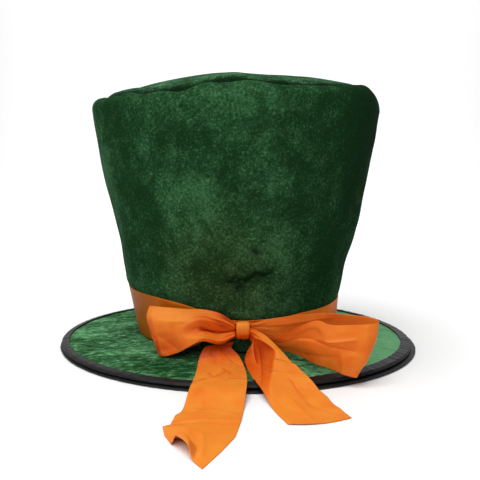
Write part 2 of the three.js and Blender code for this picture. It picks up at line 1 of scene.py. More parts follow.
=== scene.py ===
"""A tall velvet costume hat, resting on its brim, with an orange ribbon tied in a bow.

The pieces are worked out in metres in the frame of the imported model: the hat's axis is Z, the
surface that it rests on is z = 0, and the bow faces -Y. A turn is an angle round the axis, from
the right (+X) towards the back. Tables hold shares of the sizes that a user can change.
"""
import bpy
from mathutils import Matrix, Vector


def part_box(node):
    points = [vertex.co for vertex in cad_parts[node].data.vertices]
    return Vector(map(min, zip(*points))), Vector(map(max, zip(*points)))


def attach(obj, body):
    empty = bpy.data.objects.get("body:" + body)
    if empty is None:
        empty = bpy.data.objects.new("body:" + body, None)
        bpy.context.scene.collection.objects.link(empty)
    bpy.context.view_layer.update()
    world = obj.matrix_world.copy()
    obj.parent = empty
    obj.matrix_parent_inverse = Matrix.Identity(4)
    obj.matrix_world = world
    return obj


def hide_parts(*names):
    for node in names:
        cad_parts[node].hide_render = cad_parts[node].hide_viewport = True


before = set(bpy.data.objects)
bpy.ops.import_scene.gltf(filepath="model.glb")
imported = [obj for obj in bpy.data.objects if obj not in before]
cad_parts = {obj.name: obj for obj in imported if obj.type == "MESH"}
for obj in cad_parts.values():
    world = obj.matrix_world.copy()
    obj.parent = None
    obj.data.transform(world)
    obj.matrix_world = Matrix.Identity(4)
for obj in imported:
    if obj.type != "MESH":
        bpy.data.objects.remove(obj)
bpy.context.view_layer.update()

from types import SimpleNamespace

import bpy
import numpy as np
from bpy.props import FloatProperty, FloatVectorProperty, PointerProperty
from mathutils import Matrix

bl_info = {
    "name": "Velvet Hat",
    "version": (1, 0, 0),
    "blender": (4, 5, 0),
    "location": "View3D > Sidebar > Hat",
    "description": "A tall velvet costume hat with a ribbon bow",
    "category": "Add Mesh",
}

MM = 0.001
RIGHT, BACK, LEFT, FRONT = np.radians([0, 90, 180, 270])

# Widths of the crown, by height as a share of the crown's height: flares to the right, back,
# left and front, as shares of the widening from the foot to the widest level.
CROWN_SECTIONS = np.array([
    (0.00, 0.00, 0.02, 0.04, 0.02),
    (0.10, 0.04, 0.13, 0.15, 0.13),
    (0.20, 0.09, 0.22, 0.26, 0.22),
    (0.42, 0.40, 0.50, 0.52, 0.48),
    (0.65, 0.61, 0.74, 0.76, 0.73),
    (0.80, 0.77, 0.89, 0.91, 0.90),
    (0.93, 0.86, 1.00, 1.05, 1.00),
])

# The seam between the side and the tip: turn in degrees, radius as a share of the widest
# radius, and height as a share of the crown's height.
SEAM_SECTIONS = np.array([
    (0, 0.79, 1.040),
    (45, 0.90, 1.015),
    (90, 0.93, 1.005),
    (135, 0.94, 0.986),
    (180, 0.93, 0.976),
    (212, 0.94, 0.969),
    (238, 0.94, 0.968),
    (250, 0.94, 0.978),
    (264, 0.94, 1.006),
    (273, 0.94, 1.002),
    (285, 0.94, 0.999),
    (305, 0.93, 1.002),
    (330, 0.87, 1.026),
])

# The band: turn in degrees from the front towards the right, then the height of its lower and
# its upper edge above the crown's foot, as shares of the band's height.
BAND_SECTIONS = np.array([
    (0, 0.38, 0.70),
    (12, 0.31, 0.72),
    (24, 0.18, 0.75),
    (34, 0.08, 0.79),
    (50, 0.03, 0.81),
    (80, 0.02, 0.87),
    (180, 0.02, 1.00),
    (270, 0.02, 1.08),
    (312, 0.02, 1.06),
    (327, 0.10, 1.02),
    (340, 0.20, 0.92),
    (350, 0.32, 0.76),
])

# The loops, from the front of the knot round the end fold to the knot's back. A row is one line
# across the ribbon: out, ahead and rise of its upper edge, the same of its lower edge, the place
# of its crest across and how far it bellies outward. An out is a share of the loop's length,
# the others are shares of the ribbon's width.
LEFT_LOOP = np.array([
    (0.01, 0.02, 0.62, 0.01, 0.04, 0.38, 0.5, 0.01),
    (0.16, 0.00, 0.79, 0.17, 0.17, 0.26, 0.5, 0.00),
    (0.34, -0.08, 0.85, 0.36, 0.24, 0.33, 0.45, 0.05),
    (0.53, -0.17, 0.84, 0.52, 0.20, 0.19, 0.42, 0.09),
    (0.71, -0.27, 0.84, 0.63, 0.10, 0.07, 0.38, 0.10),
    (0.87, -0.36, 0.84, 0.76, 0.00, -0.02, 0.32, 0.10),
    (0.95, -0.44, 0.84, 0.83, -0.13, -0.02, 0.30, 0.09),
    (0.88, -0.52, 0.82, 0.77, -0.33, 0.00, 0.30, 0.03),
    (0.71, -0.44, 0.79, 0.62, -0.24, 0.05, 0.5, 0.00),
    (0.53, -0.31, 0.76, 0.45, -0.14, 0.15, 0.5, 0.00),
    (0.33, -0.19, 0.70, 0.29, -0.08, 0.32, 0.5, 0.00),
    (0.14, -0.10, 0.64, 0.14, -0.05, 0.40, 0.5, 0.00),
    (0.01, -0.06, 0.60, 0.01, -0.05, 0.40, 0.5, 0.00),
])
RIGHT_LOOP = np.array([
    (0.01, 0.02, 0.58, 0.01, 0.02, 0.38, 0.5, 0.00),
    (0.09, 0.15, 0.53, 0.09, 0.12, 0.32, 0.5, 0.01),
    (0.19, 0.32, 0.49, 0.19, 0.22, 0.23, 0.5, 0.02),
    (0.30, 0.50, 0.58, 0.29, 0.31, 0.18, 0.5, 0.03),
    (0.40, 0.62, 0.73, 0.38, 0.42, 0.15, 0.5, 0.04),
    (0.51, 0.74, 0.85, 0.50, 0.66, 0.06, 0.5, 0.06),
    (0.62, 0.82, 0.79, 0.62, 0.80, 0.01, 0.5, 0.08),
    (0.78, 0.84, 0.80, 0.72, 0.94, -0.05, 0.5, 0.06),
    (0.92, 0.80, 0.81, 0.80, 0.98, -0.09, 0.4, 0.05),
    (0.99, 0.70, 0.82, 0.815, 0.88, -0.09, 0.4, 0.08),
    (0.95, 0.61, 0.88, 0.79, 0.67, -0.02, 0.4, 0.03),
    (0.80, 0.50, 0.90, 0.67, 0.44, 0.01, 0.5, 0.00),
    (0.63, 0.37, 0.90, 0.54, 0.28, 0.03, 0.5, 0.00),
    (0.48, 0.24, 0.86, 0.42, 0.13, 0.07, 0.5, 0.00),
    (0.31, 0.10, 0.78, 0.27, 0.05, 0.17, 0.5, 0.00),
    (0.16, -0.02, 0.70, 0.14, -0.02, 0.29, 0.5, 0.00),
    (0.01, -0.05, 0.60, 0.01, -0.05, 0.40, 0.5, 0.00),
])

# The loose ends, from the knot to the cut: side, ahead and lift of the left edge, the same of
# the right edge, the place of the crest across and how far the ribbon swells upward. An ahead is
# a share of the end's length, the others are shares of the ribbon's width.
LEFT_TAIL = np.array([
    (-0.17, 0.002, 0.30, -0.20, 0.00, 0.20, 0.5, 0.00),
    (-0.40, 0.014, 0.27, -0.22, 0.01, 0.20, 0.5, 0.00),
    (-0.67, 0.025, 0.24, -0.19, 0.02, 0.18, 0.5, 0.02),
    (-0.76, 0.05, 0.15, -0.10, 0.035, 0.12, 0.5, 0.05),
    (-0.80, 0.075, 0.04, -0.03, 0.065, 0.06, 0.5, 0.06),
    (-0.81, 0.12, 0.00, 0.03, 0.11, 0.00, 0.5, 0.03),
    (-0.83, 0.22, 0.00, 0.07, 0.21, 0.00, 0.5, 0.01),
    (-0.85, 0.31, 0.00, 0.07, 0.31, 0.00, 0.5, 0.01),
    (-0.89, 0.40, 0.03, 0.05, 0.40, 0.03, 0.5, 0.01),
    (-0.95, 0.52, 0.00, 0.01, 0.51, 0.01, 0.5, 0.03),
    (-1.03, 0.58, 0.02, -0.01, 0.57, 0.01, 0.4, 0.03),
    (-1.06, 0.65, 0.00, -0.05, 0.66, 0.00, 0.4, 0.04),
    (-1.17, 0.685, 0.02, -0.11, 0.76, 0.00, 0.4, 0.05),
    (-1.11, 0.755, 0.00, -0.30, 0.885, 0.00, 0.4, 0.04),
    (-1.00, 0.82, 0.00, -0.52, 1.01, 0.00, 0.4, 0.03),
])
RIGHT_TAIL = np.array([
    (0.13, 0.02, 0.35, 0.13, 0.02, 0.58, 0.5, 0.00),
    (0.17, 0.055, 0.30, 0.24, 0.05, 0.57, 0.5, 0.01),
    (0.08, 0.085, 0.20, 0.42, 0.12, 0.52, 0.75, 0.05),
    (0.04, 0.13, 0.08, 0.66, 0.22, 0.38, 0.92, 0.10),
    (0.09, 0.22, 0.01, 0.86, 0.32, 0.24, 0.68, 0.15),
    (0.17, 0.35, 0.00, 1.02, 0.40, 0.14, 0.45, 0.14),
    (0.24, 0.475, 0.00, 1.15, 0.465, 0.06, 0.28, 0.09),
    (0.31, 0.57, 0.01, 1.25, 0.525, 0.00, 0.15, 0.05),
    (0.40, 0.67, 0.00, 1.37, 0.59, 0.00, 0.06, 0.03),
    (0.52, 0.83, 0.00, 1.52, 0.74, 0.01, 0.06, 0.03),
    (0.66, 0.99, 0.00, 1.65, 0.88, 0.00, 0.06, 0.02),
])

# Creases in a ribbon: row and share across where one starts, the same where it ends, its width
# and its height in millimetres, and how deep shade is painted along it. A row is a row of the
# ribbon's own table, and a crease with a height below zero is a valley.
LEFT_LOOP_CREASES = [
    (0.0, 0.60, 2.0, 0.58, 3.2, -6.0, 1.0),
    (0.2, 0.88, 2.0, 0.93, 2.6, 3.0, 0.0),
    (0.0, 0.22, 2.4, 0.24, 2.4, 1.6, 0.0),
    (3.0, 0.36, 4.6, 0.30, 2.4, 1.0, 0.0),
    (5.3, 0.00, 5.2, 0.95, 2.4, 1.2, 0.0),
    (3.8, 0.92, 5.0, 0.60, 3.0, -0.8, 0.2),
]
RIGHT_LOOP_CREASES = [
    (3.4, 0.40, 7.2, 0.50, 2.0, -1.2, 0.25),
    (5.8, 0.38, 7.2, 0.30, 1.5, 1.6, 0.0),
    (6.6, 0.40, 6.9, 1.00, 2.2, 1.5, 0.0),
    (7.8, 0.05, 8.5, 0.70, 2.4, 1.0, 0.0),
    (4.0, 0.90, 6.4, 0.66, 2.6, -0.9, 0.2),
    (12.0, 0.10, 15.0, 0.30, 3.0, -0.8, 0.3),
]
LEFT_TAIL_CREASES = [
    (7.0, 0.02, 6.1, 0.62, 1.6, 1.4, 0.0),
    (7.0, 0.00, 5.5, 0.62, 1.3, -1.1, 0.75),
    (5.6, 0.26, 6.1, 0.35, 1.3, -0.9, 0.7),
    (5.3, 0.56, 5.7, 0.68, 1.7, -0.8, 0.8),
    (6.8, 0.58, 7.0, 0.98, 1.6, 0.9, 0.0),
    (10.9, 0.00, 10.5, 1.00, 2.4, 1.1, 0.0),
    (11.15, 0.00, 10.8, 1.00, 1.6, -0.7, 0.2),
    (9.0, 0.20, 9.9, 0.90, 3.0, 0.9, 0.0),
    (12.4, 0.60, 13.6, 0.80, 2.4, 1.1, 0.0),
    (8.0, 0.30, 9.2, 0.36, 3.0, -0.7, 0.15),
    (2.6, 0.60, 4.8, 0.90, 2.6, -0.9, 0.5),
    (1.4, 0.20, 4.2, 0.40, 2.6, -0.7, 0.3),
]
RIGHT_TAIL_CREASES = [
    (2.6, 0.50, 6.2, 0.06, 5.5, -1.2, 0.75),
    (6.0, 0.62, 8.0, 0.60, 1.7, -1.2, 0.3),
    (1.0, 0.35, 3.6, 0.26, 2.4, -1.2, 0.6),
    (0.4, 0.75, 2.6, 0.86, 2.4, 1.2, 0.0),
    (8.2, 0.35, 9.8, 0.42, 2.0, 0.9, 0.0),
    (8.6, 0.62, 9.6, 0.95, 2.6, -0.7, 0.15),
]

# Hollows in a ribbon: row and share across of the middle, reach along and across in millimetres,
# depth in millimetres, below zero for a swelling, and how deep shade is painted inside, below
# zero for how pale a highlight is painted. A hollow of no depth is only painted.
LEFT_LOOP_HOLLOWS = [
    (1.9, 0.62, 21, 13, 4.2, 0.75),
    (4.6, 0.75, 16, 12, 0.8, 0.12),
    (4.2, 0.20, 26, 14, -0.6, -0.55),
    (5.6, 0.86, 30, 22, 0.0, 0.40),
    (6.1, 0.45, 10, 30, 0.0, 0.35),
]
RIGHT_LOOP_HOLLOWS = [(4.6, 0.30, 16, 9, 1.6, 0.1), (7.4, 0.72, 14, 10, -1.2, 0.0)]
LEFT_TAIL_HOLLOWS = [
    (14.0, 0.37, 21, 17.5, -8.0, 0.15),
    (3.6, 0.60, 17, 22, 1.0, 0.0),
    (8.0, 0.16, 16, 11, 0.3, 0.28),
]
RIGHT_TAIL_HOLLOWS = [(8.4, 0.40, 18, 12, -1.2, 0.0)]

# Gap between pieces, distance of the knot's back from the crown, how much wider the tape laps
# over the brim at the right, and how much further out than the crown's foot the band runs flat.
GAP, KNOT_AWAY, TAPE_WIDENING, BAND_SLACK = 0.35 * MM, 1.7 * MM, 5.2 * MM, 6 * MM

# Length of the ribbon in each loose end, laid flat.
LEFT_TAIL_FLAT, RIGHT_TAIL_FLAT = 0.215, 0.165


# Sizes and colours a user can change


def length(name, description, default):
    """A length in metres, shown in the scene's units."""
    return FloatProperty(
        name=name, description=description, default=default, min=0.0001, unit="LENGTH"
    )


def colour(name, description, default):
    """A plain linear colour."""
    return FloatVectorProperty(
        name=name, description=description, default=default,
        subtype="COLOR", size=3, min=0, max=1,
    )


class HatSizes(bpy.types.PropertyGroup):
    """Driving sizes of the hat, in metres."""

    head_radius: length("Head radius", "Inside of the crown at the brim", 0.0955)
    crown_height: length("Crown height", "From the brim to the tip's seam", 0.236)
    crown_top_radius: length("Crown top radius", "At the widest level", 0.1445)
    crown_wall: length("Crown wall", "Velvet with its stiff backing", 0.003)
    dome_rise: length("Dome rise", "Rise of the tip above its seam", 0.0205)
    brim_radius: length("Brim radius", "Outside of the tape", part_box("brim_binding")[1].x)
    brim_thickness: length("Brim thickness", "Two faces of velvet on a soft filling", 0.007)
    brim_taper: length("Brim taper", "How much thinner the brim is at its edge", 0.0032)
    brim_dish: length("Brim dish", "Rise of the brim from its edge to the crown", 0.004)
    tape_thickness: length("Tape thickness", "One layer of the folded tape", 0.0012)
    tape_width: length("Tape width", "How far the tape laps over the brim", 0.0033)
    tape_bulge: length("Tape bulge", "Swelling of the tape past the brim's edge", 0.0024)
    ribbon_width: length("Ribbon width", "Width of the cut ribbon", 0.048)
    ribbon_thickness: length("Ribbon thickness", "One layer of satin", 0.0005)
    band_height: length("Band height", "Ribbon's height round the crown", 0.044)
    knot_width: length("Knot width", "From left to right", 0.0120)
    knot_height: length("Knot height", "From top to bottom", 0.0165)
    knot_depth: length("Knot depth", "From front to back", 0.0115)
    knot_level: length("Knot level", "Middle of the knot above the crown's foot", 0.0235)
    knot_offset: length("Knot offset", "Middle of the knot to the right", 0.005)
    left_loop: length("Left loop", "Length of the left loop", 0.083)
    right_loop: length("Right loop", "Length of the right loop", 0.108)
    left_tail: length("Left end", "Reach of the left end from the knot", 0.208)
    right_tail: length("Right end", "Reach of the right end from the knot", 0.135)
    fall: length("Fall", "Run in which an end comes down from the brim", 0.044)


class HatColours(bpy.types.PropertyGroup):
    """Colours of the hat's cloths, linear."""

    velvet_dark: colour("Velvet, dark", "Pile lying away", (0.0055, 0.028, 0.0078))
    velvet_light: colour("Velvet, light", "Pile lying towards", (0.026, 0.088, 0.034))
    # Painted light: the brim's colours are the crown's velvet painted lighter, for the top light on it
    # and its sheen at grazing angles.
    brim_dark: colour("Brim, dark", "Pile lying away", (0.008, 0.044, 0.011))
    brim_light: colour("Brim, light", "Pile lying towards", (0.090, 0.270, 0.110))
    # Painted sheen: glints where the pile stands to the light. The brim's and the tip's are painted
    # brighter, for the top light on their upward faces.
    velvet_glint: colour("Velvet, glints", "Pile standing to the light", (0.048, 0.150, 0.064))
    brim_glint: colour("Brim, glints", "Pile standing to the light", (0.19, 0.48, 0.24))
    tip_glint: colour("Tip, glints", "Pile standing to the light", (0.15, 0.38, 0.20))
    satin: colour("Satin", "Ribbon in full light", (0.76, 0.240, 0.028))
    # Painted shade: the ribbon's colour in its creases, where it stands upright and in shadow.
    satin_deep: colour("Satin, deep", "Ribbon in its creases", (0.61, 0.056, 0.002))
    # Painted shade: the band's colours are the ribbon's, painted deeper and redder for the shade under
    # the crown's flare.
    band: colour("Band satin", "Ribbon round the crown", (0.82, 0.165, 0.006))
    band_deep: colour("Band satin, deep", "The band's darker marks", (0.27, 0.080, 0.005))
    tape: colour("Tape", "Binding in full light", (0.006, 0.006, 0.006))
    # Painted sheen: paler random patches for the grey sheen of the tape's face.
    tape_sheen: colour("Tape, worn", "Binding where it is rubbed", (0.011, 0.012, 0.012))
    floor: colour("Floor", "Studio floor", (0.86, 0.86, 0.86))


# Shape helpers


def hermite(place, value, at):
    """Smooth curve through values: a cubic between each two, its slopes from their neighbours."""
    place, value = np.asarray(place, float), np.asarray(value, float)
    last = len(place) - 1
    after = np.minimum(np.arange(last + 1) + 1, last)
    before = np.maximum(np.arange(last + 1) - 1, 0)
    slope = (value[after] - value[before]) / (place[after] - place[before])
    i = np.clip(np.searchsorted(place, at, side="right") - 1, 0, last - 1)
    step = place[i + 1] - place[i]
    t = np.clip((at - place[i]) / step, 0, 1)
    start, end = 2 * t**3 - 3 * t**2 + 1, 3 * t**2 - 2 * t**3
    leave, arrive = t**3 - 2 * t**2 + t, t**3 - t**2
    return start * value[i] + end * value[i + 1] + step * (leave * slope[i] + arrive * slope[i + 1])


def around(degrees, value, turn):
    """The same curve round the hat: the table starts again after a full turn."""
    place = np.concatenate([degrees[-2:] - 360, degrees, degrees[:2] + 360])
    wrapped = np.concatenate([value[-2:], value, value[:2]])
    return hermite(place, wrapped, np.degrees(turn) % 360)


def smooth(value, low, high):
    """Smoothstep: 0 below low, 1 above high, and a soft S between them."""
    share = np.clip((value - low) / (high - low), 0, 1)
    return share * share * (3 - 2 * share)


def ripple(points, wavelength, seed, waves=9):
    """Uneven smooth field of about -1 to 1: the sum of plane waves in seeded directions."""
    rng = np.random.default_rng(seed)
    ways = rng.normal(size=(3, waves))
    ways *= 2 * np.pi / wavelength / np.linalg.norm(ways, axis=0)
    lengths = rng.uniform(0.7, 1.5, waves)
    return np.sin(points @ (ways * lengths) + rng.uniform(0, 2 * np.pi, waves)).sum(-1) / waves**0.5


def crumple(along, across, wavelength, seed, waves=5):
    """Flat facets between sharp lines, 0 to 1: the mean of |sin| waves in seeded directions."""
    rng = np.random.default_rng(seed)
    total = 0
    for way, start in zip(rng.uniform(0, np.pi, waves), rng.uniform(0, np.pi, waves)):
        run = along * np.cos(way) + across * np.sin(way)
        bend = 0.6 * np.sin((across * np.cos(way) - along * np.sin(way)) * 2 / wavelength + start)
        total = total + np.abs(np.sin(np.pi * run / wavelength + bend + start))
    return total / waves


def off_line(along, across, start, end):
    """Distance from a straight piece of line between two points, each (along, across)."""
    along, across = np.broadcast_arrays(along, across)
    start, end = np.asarray(start, float), np.asarray(end, float)
    run = end - start
    place = np.stack([along - start[0], across - start[1]], -1)
    share = np.clip(place @ run / (run @ run), 0, 1)
    return np.linalg.norm(place - share[..., None] * run, axis=-1)


def normals_of(grid):
    """Unit normals of a grid of points: the cross product of its two directions."""
    normal = np.cross(np.gradient(grid, axis=0), np.gradient(grid, axis=1))
    return normal / np.maximum(np.linalg.norm(normal, axis=-1, keepdims=True), 1e-12)


def polar(radius, turn, height):
    """Points at a radius and a turn round the hat's axis, and a height."""
    radius, turn, height = np.broadcast_arrays(radius, turn, height)
    return np.stack([radius * np.cos(turn), radius * np.sin(turn), height], -1)


def turns(count):
    """Evenly spaced turns round the hat, from the right."""
    return np.arange(count) * 2 * np.pi / count


def swell(points, rows):
    """Waves in cloth: the sum of ripples, each row a length, a height in millimetres, a seed."""
    return MM * sum(height * ripple(points, span, seed) for span, height, seed in rows)


def bell(*ways):
    """A soft round patch: a bell curve of the distance from its middle, given in one or more
    directions as shares of its reach."""
    return np.exp(-sum(way**2 for way in ways))


def towards(turn, degrees, low, high):
    """1 at a turn given in degrees, fading to 0 away from it: a smoothstep of the cosine."""
    return smooth(np.cos(turn - np.radians(degrees)), low, high)


def from_front(turn):
    """A turn counted from the front, up to half a turn to the right and to the left."""
    return (turn - FRONT + np.pi) % (2 * np.pi) - np.pi


# Meshes


def add_mesh(name, grid, closed_rows=False, closed_columns=False, poles=(), uv=None, marks=None):
    """A mesh object from a grid of points: a quad for each cell, wrapped round where the grid is
    closed, and a fan of triangles to each pole. uv has one more column where it wraps, and marks
    are fields over the grid that the materials read as attributes."""
    rows, columns = grid.shape[:2]
    i = np.arange(rows if closed_rows else rows - 1)[:, None]
    j = np.arange(columns if closed_columns else columns - 1)[None, :]
    corners = ((i, j), (i, j + 1), (i + 1, j + 1), (i + 1, j))
    quads = np.stack([(a % rows) * columns + b % columns for a, b in corners], -1).reshape(-1, 4)
    ring, ahead = np.arange(columns), (np.arange(columns) + 1) % columns
    below = (rows - 1) * columns
    hubs = rows * columns + np.arange(len(poles))[:, None] + 0 * ring
    fans = []
    if poles:
        fans = [np.stack([hubs[0], ahead, ring], -1),
                np.stack([hubs[1], ring + below, ahead + below], -1)]
    points = np.vstack([grid.reshape(-1, 3), *poles])
    triangles = np.vstack([quads[:, :3], quads[:, [0, 2, 3]], *fans])
    outward = not closed_columns or enclosed(points, triangles) > 0
    order = slice(None) if outward else slice(None, None, -1)
    faces = quads[:, order].tolist() + [face for fan in fans for face in fan[:, order].tolist()]
    mesh = bpy.data.meshes.new(name)
    mesh.from_pydata(points, [], faces)
    mesh.polygons.foreach_set("use_smooth", np.ones(len(faces), bool))
    if uv is not None:
        wide = uv.shape[1]
        place = np.stack([a * wide + b for a, b in corners], -1).reshape(-1, 4)[:, order]
        flat = np.zeros((len(mesh.loops), 2), np.float32)
        flat[: place.size] = uv.reshape(-1, 2)[place.ravel()]
        mesh.uv_layers.new(name="ribbon").data.foreach_set("uv", flat.ravel())
    for mark, field in (marks or {}).items():
        value = np.zeros(len(points), np.float32)
        value[: rows * columns] = np.broadcast_to(field, (rows, columns)).ravel()
        mesh.attributes.new(mark, "FLOAT", "POINT").data.foreach_set("value", value)
    mesh.update()
    piece = bpy.data.objects.new(name, mesh)
    bpy.context.scene.collection.objects.link(piece)
    return piece


def enclosed(points, triangles):
    """Signed volume of a closed mesh: the sum over its triangles of a . (b x c) / 6."""
    a, b, c = (points[triangles[:, k]] for k in range(3))
    return np.einsum("ij,ij->", a, np.cross(b, c)) / 6


def finish_piece(piece, node, cloth):
    """Makes a piece stand for its node, ride on the hat and take its material."""
    piece.data.materials.append(cloth)
    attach(piece, "root")
    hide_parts(node)
    return piece


def thicken(piece, thickness):
    """Gives an open sheet its thickness, half on each side."""
    solid = piece.modifiers.new("thickness", "SOLIDIFY")
    solid.thickness = thickness
    solid.offset = 0


# The hat's form


def hat_form(sizes):
    """The driving sizes and the levels and radii that follow from them, in metres."""
    form = SimpleNamespace(**{name: getattr(sizes, name) for name in HatSizes.__annotations__})
    form.gap = GAP
    form.crown_base = form.head_radius + form.crown_wall
    form.brim_edge = form.brim_radius - form.tape_bulge - form.tape_thickness - form.gap
    form.brim_under = form.tape_thickness + form.gap
    form.brim_top = form.brim_under + form.brim_thickness - form.brim_taper
    form.crown_foot = form.brim_under + form.brim_thickness + form.brim_dish + form.gap
    form.tape_top = form.brim_top + form.gap + form.tape_thickness
    form.apex = form.crown_foot + form.crown_height + form.dome_rise
    knot_back = crown_radius(form, form.crown_foot + form.knot_level, FRONT) + KNOT_AWAY
    form.knot = np.array([
        form.knot_offset, -knot_back - form.knot_depth / 2, form.crown_foot + form.knot_level
    ])
    return form


def crown_radius(form, height, turn):
    """Outside radius of the crown: the foot's radius plus the widening times a flare. A smooth
    curve over the height gives the flare to the right, back, left and front, and half a cosine
    wave blends one into the next."""
    height, turn = np.broadcast_arrays(np.asarray(height, float), np.asarray(turn, float))
    share = (height - form.crown_foot) / form.crown_height
    flares = np.stack([hermite(CROWN_SECTIONS[:, 0], CROWN_SECTIONS[:, k], share) for k in range(1, 5)])
    quarter = (turn / (np.pi / 2)) % 4
    start = np.floor(quarter).astype(int) % 4
    part = (1 - np.cos(np.pi * (quarter - np.floor(quarter)))) / 2
    here = np.take_along_axis(flares, start[None], 0)[0]
    there = np.take_along_axis(flares, ((start + 1) % 4)[None], 0)[0]
    return form.crown_base + (form.crown_top_radius - form.crown_base) * (here + (there - here) * part)


def seam_at(form, turn):
    """Radius and height of the seam between side and tip, with small scallops where the
    stitches pull it in."""
    scallops = ripple(polar(1.0, turn, 0.0), 0.42, seed=11)
    radius = form.crown_top_radius * around(SEAM_SECTIONS[:, 0], SEAM_SECTIONS[:, 1], turn)
    height = form.crown_height * around(SEAM_SECTIONS[:, 0], SEAM_SECTIONS[:, 2], turn)
    return radius + 0.4 * MM * scallops, form.crown_foot + height + 0.35 * MM * scallops


def band_edges(form, turn):
    """Heights of the band's lower and upper edge."""
    low, high = (around(BAND_SECTIONS[:, 0], BAND_SECTIONS[:, k], turn - FRONT) for k in (1, 2))
    return form.crown_foot + form.band_height * low, form.crown_foot + form.band_height * high


# The crown and its tip


# Short wrinkles low on the front of the crown, each also painted darker along its line as shade:
# where each starts and ends, as millimetres to the right of the front and above the surface, its
# width and its depth in millimetres.
CROWN_WRINKLES = [
    (-8, 79, -2, 81, 2.0, 2.6),
    (-2, 81, 4, 79, 2.4, 3.0),
    (4, 79, 9, 82, 1.9, 2.2),
    (11, 84, 16, 87, 1.9, 2.0),
    (16, 87, 22, 86, 2.2, 2.8),
    (22, 86, 28, 88, 1.8, 2.2),
    (-1, 74, 3, 76, 1.6, 1.4),
    (13, 108, 15, 106, 1.6, 1.4),
]

# Where the crown is lighter or darker in patches, partly the crushed pile's own mottling and
# partly painted light and shade, darker towards its sides: the middle of a patch as millimetres
# to the right of the front and above the surface, its reach along and up in millimetres, and how
# much it moves the balance of the pile.
CROWN_PILE = [
    (-42, 148, 26, 26, 0.095),
    (-78, 232, 34, 16, 0.055),
    (-12, 214, 24, 30, 0.015),
    (30, 180, 30, 26, 0.030),
    (-60, 196, 26, 22, -0.055),
    (-100, 120, 30, 40, -0.040),
    (14, 118, 30, 28, -0.032),
    (-30, 98, 40, 18, -0.050),
    (14, 80, 44, 12, -0.035),
    (40, 235, 40, 12, 0.020),
    (68, 97, 18, 22, 0.050),
    (104, 90, 36, 44, -0.075),
    (140, 190, 40, 90, -0.075),
    (98, 200, 30, 60, -0.035),
    (150, 238, 44, 30, -0.060),
    (-128, 190, 34, 70, -0.085),
    (-57, 61, 26, 12, -0.050),
    (58, 182, 16, 22, -0.038),
    (-24, 160, 16, 16, 0.040),
    (-55, 121, 14, 16, 0.040),
    (-118, 147, 16, 16, 0.040),
    (-85, 142, 12, 22, -0.045),
    (-96, 220, 24, 18, -0.025),
    (-93, 97, 18, 20, 0.030),
    (65, 124, 14, 16, 0.025),
    (118, 124, 14, 20, 0.030),
]

# Where the brim's pile does so, to the right of the hat's axis and in front of it.
BRIM_PILE = [
    (-50, 132, 36, 20, -0.075),
    (-88, 88, 32, 18, 0.055),
    (-142, 84, 16, 30, -0.035),
    (-110, 8, 18, 22, -0.035),
]

# Waves in the velvet: length in metres, height in millimetres, and the seed of their directions.
CROWN_DENTS = [(0.10, 1.2, 3), (0.035, 0.45, 5)]
TIP_LUMPS = [(0.07, 0.7, 33)]
BRIM_WAVES = [(0.045, 0.35, 41), (0.014, 0.22, 42)]

# The crown's cloth bulges over the band by this much, most at this height above it, and is
# gathered there in small waves, which fade over three times that height.
BULGE, BULGE_RISE = 1.3 * MM, 7 * MM
GATHER_LENGTH, GATHER_HEIGHT = 0.022, 0.5 * MM

# The lip beside a wrinkle, in millimetres: its height, its place and its reach.
LIP_HEIGHT, LIP_PLACE, LIP_REACH = 0.35, 4, 3

# Radius of the crown at the wrinkles, as a share of the radius at its foot.
WRINKLE_GIRTH = 1.12

# A brownish cast low on the front: its middle to the right of the front and above the surface,
# and its reach.
BROWN_PLACE = (-16 * MM, 74 * MM)
BROWN_REACH = (44 * MM, 46 * MM)

# How far the crown's side goes inward and down into its seam, and is tucked under behind it.
SEAM_IN, SEAM_DOWN = 2.2 * MM, 4.4 * MM
TUCK_IN, TUCK_DOWN = 3 * MM, 2 * MM

# How far inside the seam the tip ends and how far its inner face is turned down there, the
# height, place and reach of its puff, the depth and reach of its dive, and the height and reach
# of its puckers, all counted from that end.
TIP_INSET, TIP_HEM = 2.8 * MM, 3 * MM
PUFF, PUFF_PLACE, PUFF_REACH = 2.8 * MM, 10 * MM, 8 * MM
DIVE, DIVE_REACH = 5.5 * MM, 2.2 * MM
PUCKER, PUCKER_REACH = 0.8 * MM, 13 * MM

# How much of the shoulder's puckers is drawn out where the cloth is taut, and how far they go
# outward and upward, in millimetres.
DRAWN_OUT, PUCKER_OUT, PUCKER_UP = 0.85, 0.5, 0.9

# Painted shade on the crown's right side: how dark it is, at which turn in degrees, and from
# where to where above the surface that grows.
DARK_RIGHT, DARK_TURN = 0.62, -4
DARK_FROM, DARK_TO = 60 * MM, 170 * MM

# Columns and rows of the crown's meshes.
CROWN_COLUMNS = 480
WALL_ROWS, SHOULDER_ROWS, SEAM_ROWS, INSIDE_ROWS, TIP_ROWS = 110, 25, 5, 28, 72


def pile_at(across, along, patches):
    """Balance of the pile: the sum of soft round patches."""
    total = 0
    for x, y, wide, long, amount in patches:
        total = total + amount * bell((across - x * MM) / (wide * MM), (along - y * MM) / (long * MM))
    return total


def wrinkle_side(form, turn):
    """Distance to the right of the front, along the crown's cloth at the wrinkles."""
    return form.crown_base * WRINKLE_GIRTH * from_front(turn)


def taut_at(turn):
    """1 at the right, where the cloth is drawn flat at the seam, and 0 where it puffs up."""
    return towards(turn, -12, 0.45, 0.95)


def seam_dive(turn):
    """How deep the cloth dives into the seam, as a share of its full depth: 0.4 at the left."""
    return 1 - 0.6 * towards(turn, 180, 0.75, 0.97)


